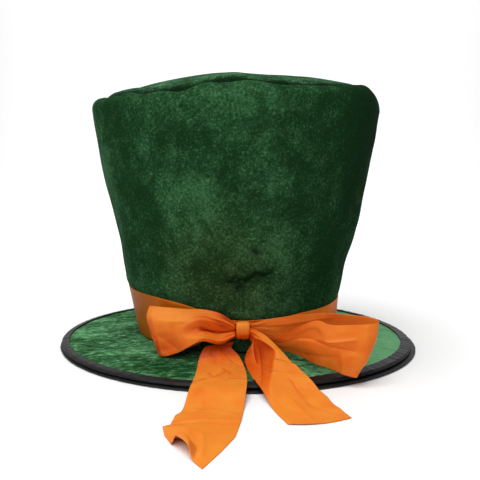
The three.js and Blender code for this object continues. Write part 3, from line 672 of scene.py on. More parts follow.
def crown_relief(form, turn, height):
    """How far the crown's cloth stands proud of its smooth form, and how dark shade is painted in
    its wrinkles. Broad dents are long waves, the cloth bulges above the band, and each wrinkle is a
    valley whose depth falls off with the distance from its line, between two low lips. The painted
    shade falls off from the line too."""
    band_top = band_edges(form, turn)[1]
    dents = swell(polar(form.crown_top_radius, turn, height), CROWN_DENTS)
    relief = smooth(height - band_top, 1 * MM, 22 * MM) * dents
    above = (height - band_top) / BULGE_RISE
    relief += BULGE * np.where(above > 0, above * np.exp(1 - above), 0)
    gathers = ripple(polar(form.crown_base, turn, 0 * height), GATHER_LENGTH, seed=8)
    relief += GATHER_HEIGHT * gathers * np.exp(-np.maximum(above, 0) / 3) * np.clip(above, 0, 1)
    side = wrinkle_side(form, turn)
    fold = 0
    for x0, z0, x1, z1, width, depth in CROWN_WRINKLES:
        away = off_line(side, height, (x0 * MM, z0 * MM), (x1 * MM, z1 * MM)) / MM
        valley = np.exp(-away / width)
        lip = bell((away - LIP_PLACE) / LIP_REACH)
        relief = relief + MM * (LIP_HEIGHT * lip - depth * valley)
        # Painted shade, darkest along the wrinkle's line.
        fold = np.maximum(fold, np.minimum(1, 1.7 * valley))
    return relief, fold


def crown_shoulder(form, turn, widest, relief):
    """Radius and height from the crown's widest level to the bottom of its seam: a quarter
    ellipse, on which the relief fades and puckers grow, and then a valley."""
    seam_radius, seam_height = seam_at(form, turn)
    wide = crown_radius(form, widest, turn)
    bend = np.linspace(0, np.pi / 2, SHOULDER_ROWS + 1)[1:, None]
    pucker = ripple(polar(1.0, turn, 0 * bend), 0.24, seed=21) * np.sin(bend) ** 3
    pucker *= MM * (1 - DRAWN_OUT * taut_at(turn))
    radius = seam_radius + (wide - seam_radius) * np.cos(bend) + relief * np.cos(bend) ** 2
    radius = radius + PUCKER_OUT * pucker
    height = widest + (seam_height - widest) * np.sin(bend) + PUCKER_UP * pucker
    sink = np.linspace(0, 1, SEAM_ROWS + 1)[1:, None]
    low_radius = radius[-1:] - SEAM_IN * sink
    low_height = height[-1:] - SEAM_DOWN * seam_dive(turn) * sink**1.5
    return np.vstack([radius, low_radius]), np.vstack([height, low_height])


def crown_side(form):
    """The crown's side: a closed shell. Its outline goes up the outside, round the shoulder and
    down into the seam, and back down the inside at the wall's thickness. Shade is painted in
    along its wrinkles, towards its seam and on its right side."""
    turn = turns(CROWN_COLUMNS)[None, :]
    widest = form.crown_foot + form.crown_height * CROWN_SECTIONS[-1, 0]
    level = np.linspace(form.crown_foot, widest, WALL_ROWS)[:, None]
    relief, fold = crown_relief(form, turn, level)
    top_radius, top_height = crown_shoulder(form, turn, widest, relief[-1:])
    inner_height = np.linspace(widest, form.crown_foot, INSIDE_ROWS)[:, None]
    inner_radius = crown_radius(form, inner_height, turn) - form.crown_wall
    seam_radius = seam_at(form, turn)[0][0]
    tuck_radius = np.stack([top_radius[-1], (inner_radius[0] + seam_radius) / 2]) - TUCK_IN
    tuck_height = np.stack([top_height[-1] - TUCK_DOWN, top_height[-1] * 0.4 + widest * 0.6])
    wall_radius = crown_radius(form, level, turn) + relief
    radius = np.vstack([wall_radius, top_radius, tuck_radius, inner_radius])
    height = np.vstack([level + 0 * turn, top_height, tuck_height, inner_height + 0 * turn])
    # Painted shade: along the wrinkles and darkening into the seam.
    depth = np.zeros_like(radius)
    depth[:WALL_ROWS] = fold
    seam_end = WALL_ROWS + SHOULDER_ROWS + SEAM_ROWS
    darkening = SEAM_ROWS + 4
    depth[seam_end - darkening : seam_end] = np.linspace(0, 1, darkening)[:, None]
    # Painted shade on the crown's right side.
    right = DARK_RIGHT * towards(turn, DARK_TURN, 0.62, 1.0) * smooth(height, DARK_FROM, DARK_TO)
    brown_cast = bell((wrinkle_side(form, turn) - BROWN_PLACE[0]) / BROWN_REACH[0],
                 (height - BROWN_PLACE[1]) / BROWN_REACH[1])
    pile = pile_at(form.crown_top_radius * from_front(turn), height, CROWN_PILE)
    marks = {"fold": np.maximum(depth, right), "pile": pile, "brown_cast": brown_cast}
    return add_mesh("crown_side_velvet", polar(radius, turn, height), True, True, marks=marks)


def crown_tip(form):
    """The crown's tip: a closed dome. Its height falls with the square of the radius, it puffs up
    beside the seam and dives into it, with puckers that die out towards the middle."""
    turn = turns(CROWN_COLUMNS)[None, :]
    seam_radius, seam_height = seam_at(form, turn)
    rim = seam_radius - TIP_INSET
    rise = form.apex - seam_height
    share = np.linspace(0, 1, TIP_ROWS + 1)[1:, None] ** 0.7
    beside = (1 - share) * rim
    puff = PUFF * (1 - taut_at(turn)) * bell((beside - PUFF_PLACE) / PUFF_REACH)
    dive = DIVE * seam_dive(turn) * np.exp(-beside / DIVE_REACH)
    pucker = PUCKER * ripple(polar(1.0, turn, 0 * share), 0.26, seed=31) * np.exp(-beside / PUCKER_REACH)
    lumps = swell(polar(rim * share, turn, 0 * share), TIP_LUMPS) * (1 - share**4)
    top = seam_height + rise * (1 - share**2) + puff - dive + pucker + lumps
    inside = share[::-6]
    under = seam_height + rise * (1 - inside**2) - form.crown_wall
    under[0] -= TIP_HEM
    points = np.concatenate([polar(rim * share, turn, top), polar(rim * inside, turn, under)])
    # Painted shade, darkest at the seam.
    depth = np.concatenate([1 - smooth(beside, 3.5 * MM, 8 * MM), 0 * inside * rim])
    poles = ((0, 0, top[0].mean()), (0, 0, form.apex - form.crown_wall))
    return add_mesh("crown_tip_velvet", points, False, True, poles, marks={"fold": depth})


# The brim and its tape


# Columns and rows of the brim and the tape.
BRIM_COLUMNS, BRIM_ROWS, EDGE_ROWS = 560, 64, 7
TAPE_COLUMNS, TAPE_ROWS = 720, 92

# Waves of the tape, out on its face and up on its upper lip: length as a share of the brim's
# radius, height in millimetres, and the seed of their directions.
FACE_PUCKERS = [(0.035, 0.16, 51)]
LIP_PUCKERS = [(0.05, 0.2, 52)]

# Place and reach of the painted shade in the tape's groove, as shares of the tape's height.
GROOVE_PLACE, GROOVE_REACH = 0.42, 0.07

# Painted light: how much paler the brim is at the far right, and from where to where that grows.
LIT_RIGHT, LIT_FROM, LIT_TO = 0.125, -10 * MM, 145 * MM

# Painted shadow below the knot: its reach to the side and ahead, and how dark it is.
SHADE_REACH = (16 * MM, 22 * MM)
SHADE_DEPTH = 0.9


def brim_faces(form, radius):
    """Heights of the brim's lower and upper face. The lower one rises in a straight line from
    the edge to the crown, and the brim thins in a straight line from the crown to its edge."""
    share = np.clip((form.brim_edge - radius) / (form.brim_edge - form.head_radius), 0, 1)
    low = form.brim_under + form.brim_dish * share
    return low, low + form.brim_thickness - form.brim_taper * (1 - share)


def at_right(turn):
    """1 at the right of the hat, a little towards the front, fading to 0 over its left half."""
    return towards(turn, -28, 0.15, 0.9)


def tape_inner(form, turn):
    """Inner edge of the tape, whose lap over the brim is wider at the right."""
    return form.brim_radius - form.tape_bulge - form.tape_width - TAPE_WIDENING * at_right(turn)


def brim(form):
    """The brim: a closed padded ring. Its outline is two faces joined by half circles, and the
    upper face is lifted by long and short waves, as crushed cloth is. Light is painted in paler
    to the right, and shadow darker below the knot."""
    turn = turns(BRIM_COLUMNS)[None, :]
    inner, outer = form.brim_thickness / 2, (form.brim_thickness - form.brim_taper) / 2
    bend = np.linspace(-np.pi / 2, np.pi / 2, EDGE_ROWS + 2)[1:-1]
    run = np.linspace(form.head_radius + inner, form.brim_edge - outer, BRIM_ROWS)
    radius = np.concatenate([
        run, run[-1] + outer * np.cos(bend[::-1]), run[::-3], run[0] - inner * np.cos(bend),
    ])[:, None]
    face = np.concatenate([0 * run + 1, np.sin(bend[::-1]), 0 * run[::-3] - 1, np.sin(bend)])[:, None]
    low, high = brim_faces(form, radius)
    flat = polar(radius, turn, 0 * radius)
    free = (face > 0.9) * smooth(tape_inner(form, turn) - radius, 0, 8 * MM)
    height = (low + high) / 2 + face * (high - low) / 2 + free * swell(flat, BRIM_WAVES)
    x, y = flat[..., 0], flat[..., 1]
    # Painted light, paler to the right, with patches that move the pile's balance.
    pile = LIT_RIGHT * smooth(x, LIT_FROM, LIT_TO) + pile_at(x, -y, BRIM_PILE)
    # Painted shadow below the knot.
    from_knot = np.hypot((x - form.knot[0]) / SHADE_REACH[0], (y - form.knot[1]) / SHADE_REACH[1])
    marks = {"pile": pile * (face > -0.5), "fold": SHADE_DEPTH * (1 - smooth(from_knot, 0.5, 1.3))}
    return add_mesh("brim_velvet", polar(radius, turn, height), True, True, marks=marks)


# The tape's outer face from its lower to its upper lip: how far it stands out past the brim's
# edge at the left and at the right, as shares of the tape's bulge, and height as a share of the
# tape's full height. On the lips the reach is a share of the lap, below zero.
TAPE_OUTLINE = np.array([
    (-1.00, -1.00, 0.00),
    (-0.40, -0.40, 0.00),
    (0.60, 0.60, 0.00),
    (1.75, 2.10, 0.07),
    (2.10, 2.60, 0.20),
    (1.60, 1.80, 0.31),
    (0.75, 0.10, 0.39),
    (0.85, 0.05, 0.47),
    (1.50, 0.75, 0.56),
    (1.62, 0.90, 0.70),
    (1.30, 0.65, 0.84),
    (0.50, 0.20, 0.95),
    (-0.30, -0.30, 1.00),
    (-1.00, -1.00, 1.03),
])


def brim_binding(form):
    """The tape round the brim's edge: its outer face is a smooth curve through a table, with two
    rolls and a groove between them, painted dark as shade. The curve changes from the left to the
    right, and fine waves along the edge pucker the tape."""
    turn = turns(TAPE_COLUMNS)[None, :]
    right = at_right(turn)
    rows = np.arange(len(TAPE_OUTLINE))
    place = np.linspace(0, len(TAPE_OUTLINE) - 1, TAPE_ROWS)
    left_reach, right_reach, level = (hermite(rows, column, place)[:, None] for column in TAPE_OUTLINE.T)
    reach = left_reach + (right_reach - left_reach) * right
    inner = tape_inner(form, turn)
    edge = form.brim_radius - form.tape_bulge
    radius = edge + reach * np.where(reach < 0, edge - inner, form.tape_bulge)
    over = (level > 0.9) & (reach < 0)
    height = form.tape_top * level + over * (brim_faces(form, radius)[1] - form.brim_top)
    ring = polar(1.0, turn, 0 * reach)
    radius = radius + swell(ring, FACE_PUCKERS) * (reach > 0.2)
    height = height + swell(ring, LIP_PUCKERS) * (level > 0.9)
    # Painted shade in the groove between the rolls.
    groove = bell((level - GROOVE_PLACE) / GROOVE_REACH) * (0.6 + 0.4 * right)
    wall = 0.8 * form.tape_thickness
    bore = form.brim_edge + form.gap + 0 * turn
    lift = brim_faces(form, inner)[1] - form.brim_top
    lining_radius = np.vstack([inner, bore, bore, inner])
    lining_height = np.vstack([form.tape_top - wall + lift, form.tape_top - wall + 0 * turn,
                               wall + 0 * turn, wall + 0 * turn])
    points = polar(np.vstack([radius, lining_radius]), turn, np.vstack([height, lining_height]))
    marks = {"fold": np.vstack([groove, 0 * lining_radius])}
    return add_mesh("brim_binding_tape", points, True, True, marks=marks)


# The band, the bow and its loose ends


# Columns and rows of the band and the knot, and of a ribbon: the rows between two of its lines.
BAND_COLUMNS, BAND_ROWS = 600, 33
KNOT_COLUMNS, KNOT_ROWS = 120, 41
RIBBON_COLUMNS, RIBBON_ROWS = 73, 10

# A row past the end of every ribbon's table.
NO_ROW = 99

# The band's distance from the crown, and how far its pleats and its crumpling lift it.
BAND_AWAY, BAND_PLEATS, BAND_CRUMPLING = 0.45 * MM, 2.2 * MM, 0.35 * MM

# The power that makes the knot's round section a rounded square, and how deep its folds are, as
# a share of its size.
KNOT_SQUARING, KNOT_FOLDS = 0.62, 0.035

# Painted shade: how much deeper the band's colour is at the left, and the knot's below.
BAND_SHADE, KNOT_SHADE = 0.75, 0.8

# A loop's crumpling or an end's: how long its facets are, how far they lift the ribbon, and
# their mean, which is taken off.
FACET_LENGTH, FACET_HEIGHT, FACET_MEAN = 0.019, 0.4 * MM, 0.64

# How far a ribbon's middle lies above the brim, how much further above the tape, how far its
# back lies above the surface, and a loop's least distance from the crown.
ABOVE_BRIM, ABOVE_TAPE, ABOVE_SURFACE, OFF_CROWN = 0.9 * MM, 0.3 * MM, 0.1 * MM, 2.6 * MM


def ribbon_uv(along, share, width):
    """Map of a ribbon: length along it and distance across it, both in metres."""
    return np.stack(np.broadcast_arrays(along, share * width), -1)


def ribbon_band(form):
    """The ribbon round the crown, an open sheet that closes on itself. It follows the crown at a
    small gap, and towards the knot it gathers in pleats: waves across its width. Shade is painted
    in, deeper on the left."""
    turn = turns(BAND_COLUMNS)[None, :]
    share = np.linspace(0, 1, BAND_ROWS)[:, None]
    low, high = band_edges(form, turn)
    height = low + (high - low) * share
    gathered = np.clip(1 - (high - low) / (0.94 * form.band_height), 0, 1)
    pleats = np.abs(np.sin(np.pi * (3.2 * share + 0.5 * np.sin(3 * from_front(turn)))))
    slack = crumple(form.crown_base * turn, height, 0.035, seed=61)
    lift = BAND_AWAY + BAND_PLEATS * gathered * pleats + BAND_CRUMPLING * slack
    radius = crown_radius(form, height, turn) + lift
    uv_turn = np.append(turn, 2 * np.pi)[None, :]
    uv = ribbon_uv(form.crown_base * uv_turn, share, form.ribbon_width)
    # Painted shade on the left.
    shade = BAND_SHADE * towards(turn, 180, -0.2, 0.9)
    piece = add_mesh("ribbon_band_satin", polar(radius, turn, height), False, True, uv=uv,
                     marks={"fold": shade})
    thicken(piece, form.ribbon_thickness)
    return piece


def bow_knot(form):
    """The knot: a closed spool. Round the left-right axis its section is a rounded square, and
    the wrapped ribbon's folds are small waves along the axis. Shade is painted in, deeper below."""
    angle = turns(KNOT_COLUMNS)[None, :]
    along = np.linspace(-0.5, 0.5, KNOT_ROWS)[:, None]

    def rounded(wave):
        return np.sign(wave) * np.abs(wave) ** KNOT_SQUARING

    size = (1 - (2 * np.abs(along)) ** 8 * 0.25) * (1 + 0.05 * along)
    drift = 0.05 * np.sin(angle + 0.8)
    folds = KNOT_FOLDS * np.abs(np.sin(2 * np.pi * (1.5 * (along + drift)) + 0.9 * np.sin(angle)))
    size = size * (0.98 - folds + 0.02 * np.sin(2 * angle))
    x = form.knot[0] + form.knot_width * (along + 0.04 * np.sin(angle) * (1 - 4 * along**2))
    y = form.knot[1] - size * rounded(np.cos(angle)) * form.knot_depth / 2
    z = form.knot[2] + size * rounded(np.sin(angle)) * form.knot_height / 2
    poles = ((x[0].mean(), *form.knot[1:]), (x[-1].mean(), *form.knot[1:]))
    girth = np.append(angle, 2 * np.pi)[None, :] * form.knot_height / 2
    uv = ribbon_uv(girth, along + 0.5, form.knot_width)
    # Painted shade below.
    shade = KNOT_SHADE * smooth(-np.sin(angle), -0.35, 0.3)
    return add_mesh("bow_knot_satin", np.stack([x, y, z], -1), False, True, poles, uv=uv,
                    marks={"fold": shade})


def rest_height(form, x, y):
    """Height of a ribbon's middle where it lies on the brim and the tape, slants down past them
    or lies on the surface."""
    radius = np.hypot(x, y)
    inner = tape_inner(form, np.arctan2(y, x))
    over_tape = smooth(radius, inner - 5 * MM, inner - 1 * MM)
    on_brim = brim_faces(form, radius)[1] + ABOVE_BRIM
    on_brim = on_brim + (form.tape_top - form.brim_top + ABOVE_TAPE) * over_tape
    fallen = smooth(radius, form.brim_radius + 4 * MM, form.brim_radius + form.fall)
    return on_brim + (form.ribbon_thickness / 2 + ABOVE_SURFACE - on_brim) * fallen


def ribbon_lines(table, crisp_from):
    """Rows along a ribbon, counted in its table's lines, and the table's columns at each: smooth
    curves, which turn into straight pieces from a crisp row on, so that corners stay."""
    lines = np.arange(len(table))
    at = np.linspace(0, lines[-1], lines[-1] * RIBBON_ROWS + 1)
    crisp = smooth(at, crisp_from, crisp_from + 0.5)
    return at, [hermite(lines, column, at) * (1 - crisp) + np.interp(at, lines, column) * crisp
                for column in table.T]


def creased(form, creases, at, run, across):
    """Lift of the creases, and the shade painted along them: each falls off with the distance
    from its line."""
    lift = fold = np.zeros(np.broadcast(run, across).shape)
    for row_0, share_0, row_1, share_1, width, tall, tone in creases:
        line = [(np.interp(row, at, run[:, 0]), part * form.ribbon_width)
                for row, part in ((row_0, share_0), (row_1, share_1))]
        near = np.exp(-off_line(run, across, *line) / (width * MM))
        lift = lift + tall * MM * near
        fold = np.maximum(fold, tone * near)
    return lift, fold


def hollowed(form, hollows, at, run, across):
    """Lift of the hollows, each a plateau inside an ellipse, and the shade painted inside them; a
    tone below zero paints a highlight, making its place paler."""
    lift = deep = pale = np.zeros(np.broadcast(run, across).shape)
    for row, part, along, wide, depth, tone in hollows:
        away = np.hypot((run - np.interp(row, at, run[:, 0])) / (along * MM),
                        (across - part * form.ribbon_width) / (wide * MM))
        lift = lift - depth * MM * (1 - smooth(away, 0.45, 1.0))
        shade = tone * bell(away / 0.6)
        deep, pale = np.maximum(deep, shade), np.maximum(pale, -shade)
    return lift, deep, pale


def pleated(form, narrow, share, pleats, fullness):
    """Lift of the pleats, waves across the ribbon. They begin where a line is narrower than 0.72
    of the ribbon, are full under 0.35, and take up part of the cloth left over."""
    spare = np.sqrt(np.clip(form.ribbon_width**2 - narrow**2, 0, None)) / (4 * pleats)
    close = 1 - smooth(narrow / form.ribbon_width, 0.35, 0.72)
    wave = 4 * np.abs((share * pleats) % 1 - 0.5) - 1
    return fullness * close * spare * wave


def ribbon_sheet(form, name, table, edges_of, outward, settle, creases, hollows, seed,
                 pleats=3, fullness=0.0, straight=False, crisp_from=NO_ROW, shaded=(0, 1, 0.0),
                 before=(0, 1, 0.0)):
    """A ribbon through the lines of a table: straight from edge to edge, then lifted along its
    normal. The belly rises to its crest in a straight line or by a quarter sine wave. Creases,
    hollows, fine crumpling and pleats are added to it. Shade is painted into the colour where the
    sheet stands upright. Painted shadow also deepens it up to the first row of shaded, fading by
    the second, and painted shade in the same way before the crest."""
    at, columns = ribbon_lines(table, crisp_from)
    start, end = edges_of(columns[:3]), edges_of(columns[3:6])
    at, top, belly = at[:, None], columns[6][:, None], columns[7][:, None]
    share = np.linspace(0, 1, RIBBON_COLUMNS)[None, :]
    sheet = start[:, None] + (end - start)[:, None] * share[..., None]
    slope = np.where(share < top, share / top, (1 - share) / (1 - top))
    steps = np.linalg.norm(np.diff(sheet[:, RIBBON_COLUMNS // 2], axis=0), axis=1)
    run = np.concatenate([[0], np.cumsum(steps)])[:, None]
    across = share * form.ribbon_width
    crease_lift, crease_fold = creased(form, creases, at[:, 0], run, across)
    hollow_lift, hollow_fold, pale = hollowed(form, hollows, at[:, 0], run, across)
    narrow = np.linalg.norm(end - start, axis=-1)[:, None]
    lift = form.ribbon_width * belly * (slope if straight else np.sin(np.pi / 2 * slope))
    lift = lift + crease_lift + hollow_lift + pleated(form, narrow, share, pleats, fullness)
    lift = lift + FACET_HEIGHT * (crumple(run, across, FACET_LENGTH, seed) - FACET_MEAN)
    points = settle(sheet + normals_of(sheet) * (outward * lift)[..., None], at, share)
    # Painted shade from creases, hollows, shadowed rows and the side before the crest.
    fold = np.maximum(crease_fold, hollow_fold)
    fold = np.maximum(fold, shaded[2] * (1 - smooth(at, *shaded[:2])))
    fold = np.maximum(fold, before[2] * (1 - smooth(at, *before[:2])) * smooth(top - share, 0.0, 0.05))
    # Painted shade where the sheet stands upright, less the painted highlight.
    upright = 1 - np.abs(normals_of(points)[..., 2])
    fold = np.clip(fold + 0.5 * upright - pale, 0, 1)
    piece = add_mesh(name, points, uv=ribbon_uv(run, share, form.ribbon_width), marks={"fold": fold})
    thicken(piece, form.ribbon_thickness)
    return piece


def bow_loop(form, name, table, reach, side, **folds):
    """A loop beside the knot. side is -1 for left and 1 for right. Its points keep clear of the
    band round the crown and of the brim, past whose edge they may hang lower."""
    root = form.knot[0] + side * form.knot_width / 2

    def ground(x, y):
        past = smooth(np.hypot(x, y), form.brim_radius + 2.5 * MM, form.brim_radius + 7 * MM)
        return rest_height(form, x, y) * (1 - past) + 2 * MM * past

    def edges_of(columns):
        out, ahead, rise = columns
        x = root + side * out * reach
        y = form.knot[1] - ahead * form.ribbon_width
        z = np.maximum(ground(x, y), form.crown_foot + rise * form.ribbon_width)
        return np.stack([x, y, z], -1)

    def settle(points, row, share):
        x, y, z = np.moveaxis(points, -1, 0)
        least = crown_radius(form, np.minimum(z, form.apex), np.arctan2(y, x)) + OFF_CROWN
        push = np.maximum(1, least / np.hypot(x, y))
        return np.stack([x * push, y * push, np.maximum(z, ground(x, y))], -1)

    return ribbon_sheet(form, name, table, edges_of, -side, settle, **folds)


def bow_tail(form, name, table, reach, rounding, **folds):
    """A loose end that runs down from the knot, over the brim and onto the surface. The cut is
    rounded outward by a parabola."""

    def edges_of(columns):
        sideways, ahead, lift = columns
        x = form.knot[0] + sideways * form.ribbon_width
        y = form.knot[1] - ahead * reach
        return np.stack([x, y, rest_height(form, x, y) + lift * form.ribbon_width], -1)

    def settle(points, row, share):
        x, y, z = np.moveaxis(points, -1, 0)
        near_cut = smooth(row, len(table) - 2.5, len(table) - 1)
        y = y - rounding * 4 * share * (1 - share) * near_cut
        return np.stack([x, y, np.maximum(z, rest_height(form, x, y))], -1)

    return ribbon_sheet(form, name, table, edges_of, 1, settle, straight=True, **folds)


# Materials


def put(tree, kind, inputs=None, **settings):
    """Adds a node, with its settings, and its inputs by name: a socket is linked, a value set."""
    node = tree.nodes.new(kind)
    for name, value in settings.items():
        setattr(node, name, value)
    for name, value in (inputs or {}).items():
        if isinstance(value, bpy.types.NodeSocket):
            tree.links.new(value, node.inputs[name])
        else:
            node.inputs[name].default_value = value
    return node


def group(name, inputs, outputs, build):
    """A shader node group with these sockets, made once. build fills it in."""
    if name in bpy.data.node_groups:
        return bpy.data.node_groups[name]
    tree = bpy.data.node_groups.new(name, "ShaderNodeTree")
    for socket, (kind, default) in inputs.items():
        made = tree.interface.new_socket(socket, in_out="INPUT", socket_type=kind)
        if default is not None:
            made.default_value = default
    for socket in outputs:
        tree.interface.new_socket(socket, in_out="OUTPUT", socket_type="NodeSocketFloat")
    given = put(tree, "NodeGroupInput")
    results = build(tree, given.outputs)
    put(tree, "NodeGroupOutput", results)
    return tree


def arithmetic(tree, operation, first, second=0.0, clamp=False):
    """The result of a Math node on two sockets or numbers."""
    return put(tree, "ShaderNodeMath", {0: first, 1: second}, operation=operation,
               use_clamp=clamp).outputs[0]


def weighted(tree, *terms):
    """The sum of sockets, each times a number."""
    total = None
    for socket, weight in terms:
        part = arithmetic(tree, "MULTIPLY", socket, weight)
        total = part if total is None else arithmetic(tree, "ADD", total, part)
    return total


def noise(tree, place, scale, detail, rough=0.5, distortion=0.0):
    """Clouds of a scale, 0 to 1: a noise texture."""
    return put(tree, "ShaderNodeTexNoise", {
        "Vector": place, "Scale": scale, "Detail": detail, "Roughness": rough,
        "Distortion": distortion}).outputs["Fac"]


def ranged(tree, value, low, high, at_low=0.0, at_high=1.0, soft=False):
    """A value between low and high, brought to the range between two others, straight or by a
    smoothstep."""
    return put(tree, "ShaderNodeMapRange", {
        "Value": value, "From Min": low, "From Max": high, "To Min": at_low, "To Max": at_high},
        interpolation_type="SMOOTHSTEP" if soft else "LINEAR").outputs[0]


def scaled(tree, vector, by):
    """A vector or colour times another, part by part."""
    return put(tree, "ShaderNodeVectorMath", {0: vector, 1: by}, operation="MULTIPLY").outputs[0]


def marked(tree, name):
    """A field that the mesh carries under this name."""
    return put(tree, "ShaderNodeAttribute", attribute_name=name).outputs["Fac"]


def object_place(tree):
    """A point's place in the piece's own frame."""
    return put(tree, "ShaderNodeTexCoord").outputs["Object"]


def blend(tree, share, first, second):
    """Two colours mixed by a share."""
    mixed = put(tree, "ShaderNodeMix", {"Factor": share}, data_type="RGBA")
    for name, value in (("A", first), ("B", second)):
        socket = next(s for s in mixed.inputs if s.name == name and s.type == "RGBA")
        if isinstance(value, bpy.types.NodeSocket):
            tree.links.new(value, socket)
        else:
            socket.default_value = value
    return next(s for s in mixed.outputs if s.type == "RGBA")


def emboss(tree, shader, strength, distance, height):
    """Raises the shader's normal by a height."""
    bump = put(tree, "ShaderNodeBump", {"Strength": strength, "Distance": distance, "Height": height})
    tree.links.new(bump.outputs[0], shader.inputs["Normal"])


def rgba(value):
    """A user's colour with full opacity."""
    return (*value, 1.0)


def nap_group():
    """Crushed pile: clouds of three sizes are added up, and the sum is stretched to full
    contrast, so that patches break up into grains at their borders, and single grains spark
    everywhere. Pile moves the balance from place to place: the crushed pile's own patches, and
    also painted light and shade, darker at the crown's sides and paler at the brim's right. Nap is
    0 where the pile lies away and 1 where it catches the light."""

    def build(tree, given):
        def clouds(scale, detail, rough):
            return noise(tree, given["Vector"], scale, detail, rough, distortion=0.25)

        wide = clouds(given["Patches"], 3.0, 0.55)
        tight = clouds(arithmetic(tree, "MULTIPLY", given["Patches"], 4.7), 4.0, 0.65)
        grains = clouds(given["Grains"], 3.0, 0.8)
        total = weighted(tree, (wide, 0.34), (tight, 0.29), (grains, 0.48), (given["Pile"], 1.0))
        lying = ranged(tree, total, 0.45, 0.67, at_high=0.85, soft=True)
        sparks = ranged(tree, grains, 0.56, 0.76, at_high=0.32)
        return {"Nap": arithmetic(tree, "ADD", lying, sparks, clamp=True),
                "Height": weighted(tree, (tight, 0.5), (grains, 0.5))}

    inputs = {
        "Vector": ("NodeSocketVector", None),
        "Patches": ("NodeSocketFloat", 14.0),
        "Grains": ("NodeSocketFloat", 460.0),
        "Pile": ("NodeSocketFloat", 0.0),
    }
    return group("crushed_nap", inputs, ("Nap", "Height"), build)


# Threads of the satin along and across the ribbon, in radians for each metre.
RIBS, PICKS = 15000.0, 9000.0


def satin_group():
    """Satin's face: Creases are sharp lines where a warped cell pattern has its borders, Clouds
    are soft changes of shade, and Threads are fine ribs along the ribbon."""

    def build(tree, given):
        warp = put(tree, "ShaderNodeTexNoise", {
            "Vector": given["Vector"], "Scale": 45.0, "Detail": 2.0}).outputs["Color"]
        warp = put(tree, "ShaderNodeVectorMath", {0: warp, "Scale": 0.012}, operation="SCALE").outputs[0]
        bent = put(tree, "ShaderNodeVectorMath", {0: given["Vector"], 1: warp},
                   operation="ADD").outputs[0]
        cells = put(tree, "ShaderNodeTexVoronoi", {"Vector": bent, "Scale": given["Creases"]},
                    feature="DISTANCE_TO_EDGE").outputs["Distance"]
        part = put(tree, "ShaderNodeSeparateXYZ", {"Vector": given["Vector"]}).outputs
        ribs = arithmetic(tree, "SINE", arithmetic(tree, "MULTIPLY", part["Y"], RIBS))
        picks = arithmetic(tree, "SINE", arithmetic(tree, "MULTIPLY", part["X"], PICKS))
        return {"Creases": ranged(tree, cells, 0.0, 0.16, at_low=1.0, at_high=0.0, soft=True),
                "Clouds": noise(tree, given["Vector"], 38.0, 3.0, 0.55),
                "Threads": weighted(tree, (ribs, 1.0), (picks, 0.5))}

    inputs = {"Vector": ("NodeSocketVector", None), "Creases": ("NodeSocketFloat", 60.0)}
    return group("satin_face", inputs, ("Creases", "Clouds", "Threads"), build)


def material(name, paint, **looks):
    """The material of this name. Where there is none yet, paint fills in a new one's shader."""
    if name not in bpy.data.materials:
        made = bpy.data.materials.new(name)
        made.use_nodes = True
        tree = made.node_tree
        paint(tree, tree.nodes["Principled BSDF"], **looks)
    return bpy.data.materials[name]


# Painted shade: the colour of velvet in its folds and wrinkles, at its seam, at the crown's right and
# below the knot, and of the tape in its groove.
VELVET_IN_SHADE = (0.0025, 0.009, 0.0035, 1.0)
TAPE_IN_SHADE = (0.001, 0.001, 0.001, 1.0)

# What the brownish cast multiplies the velvet's red, green and blue by.
BROWN_CAST = (1.75, 1.0, 1.0)


def velvet(tree, shader, dark, light, glint, patches, grains, bump, stretch):
    """Crushed velvet: dark where the pile lies away, light where it stands, with glints of painted
    sheen on the strongest spots, and browner where the mesh marks its brownish cast. Shade is
    painted in nearly black where the mesh marks it: in folds and wrinkles, at the seam, at the
    crown's right and below the knot. A stretch draws its pattern out from side to side."""
    nap = put(tree, "ShaderNodeGroup", node_tree=nap_group())
    tree.links.new(scaled(tree, object_place(tree), (1 / stretch, 1.0, 1.0)), nap.inputs["Vector"])
    tree.links.new(marked(tree, "pile"), nap.inputs["Pile"])
    nap.inputs["Patches"].default_value = patches
    nap.inputs["Grains"].default_value = grains
    lit = nap.outputs["Nap"]
    cloth = blend(tree, lit, rgba(dark), rgba(light))
    cloth = blend(tree, arithmetic(tree, "POWER", lit, 5.0), cloth, rgba(glint))
    cloth = blend(tree, marked(tree, "brown_cast"), cloth, scaled(tree, cloth, BROWN_CAST))
    # Painted shade, nearly black where the mesh marks it.
    folded = arithmetic(tree, "MULTIPLY", marked(tree, "fold"), 0.9)
    tree.links.new(blend(tree, folded, cloth, VELVET_IN_SHADE), shader.inputs["Base Color"])
    tree.links.new(ranged(tree, lit, 0.0, 1.0, 0.95, 0.75), shader.inputs["Roughness"])
    emboss(tree, shader, bump, 0.0012, nap.outputs["Height"])
    shader.inputs["Specular IOR Level"].default_value = 0.018
    shader.inputs["Sheen Weight"].default_value = 0.012
    shader.inputs["Sheen Roughness"].default_value = 0.4
    shader.inputs["Sheen Tint"].default_value = (0.15, 0.6, 0.25, 1.0)


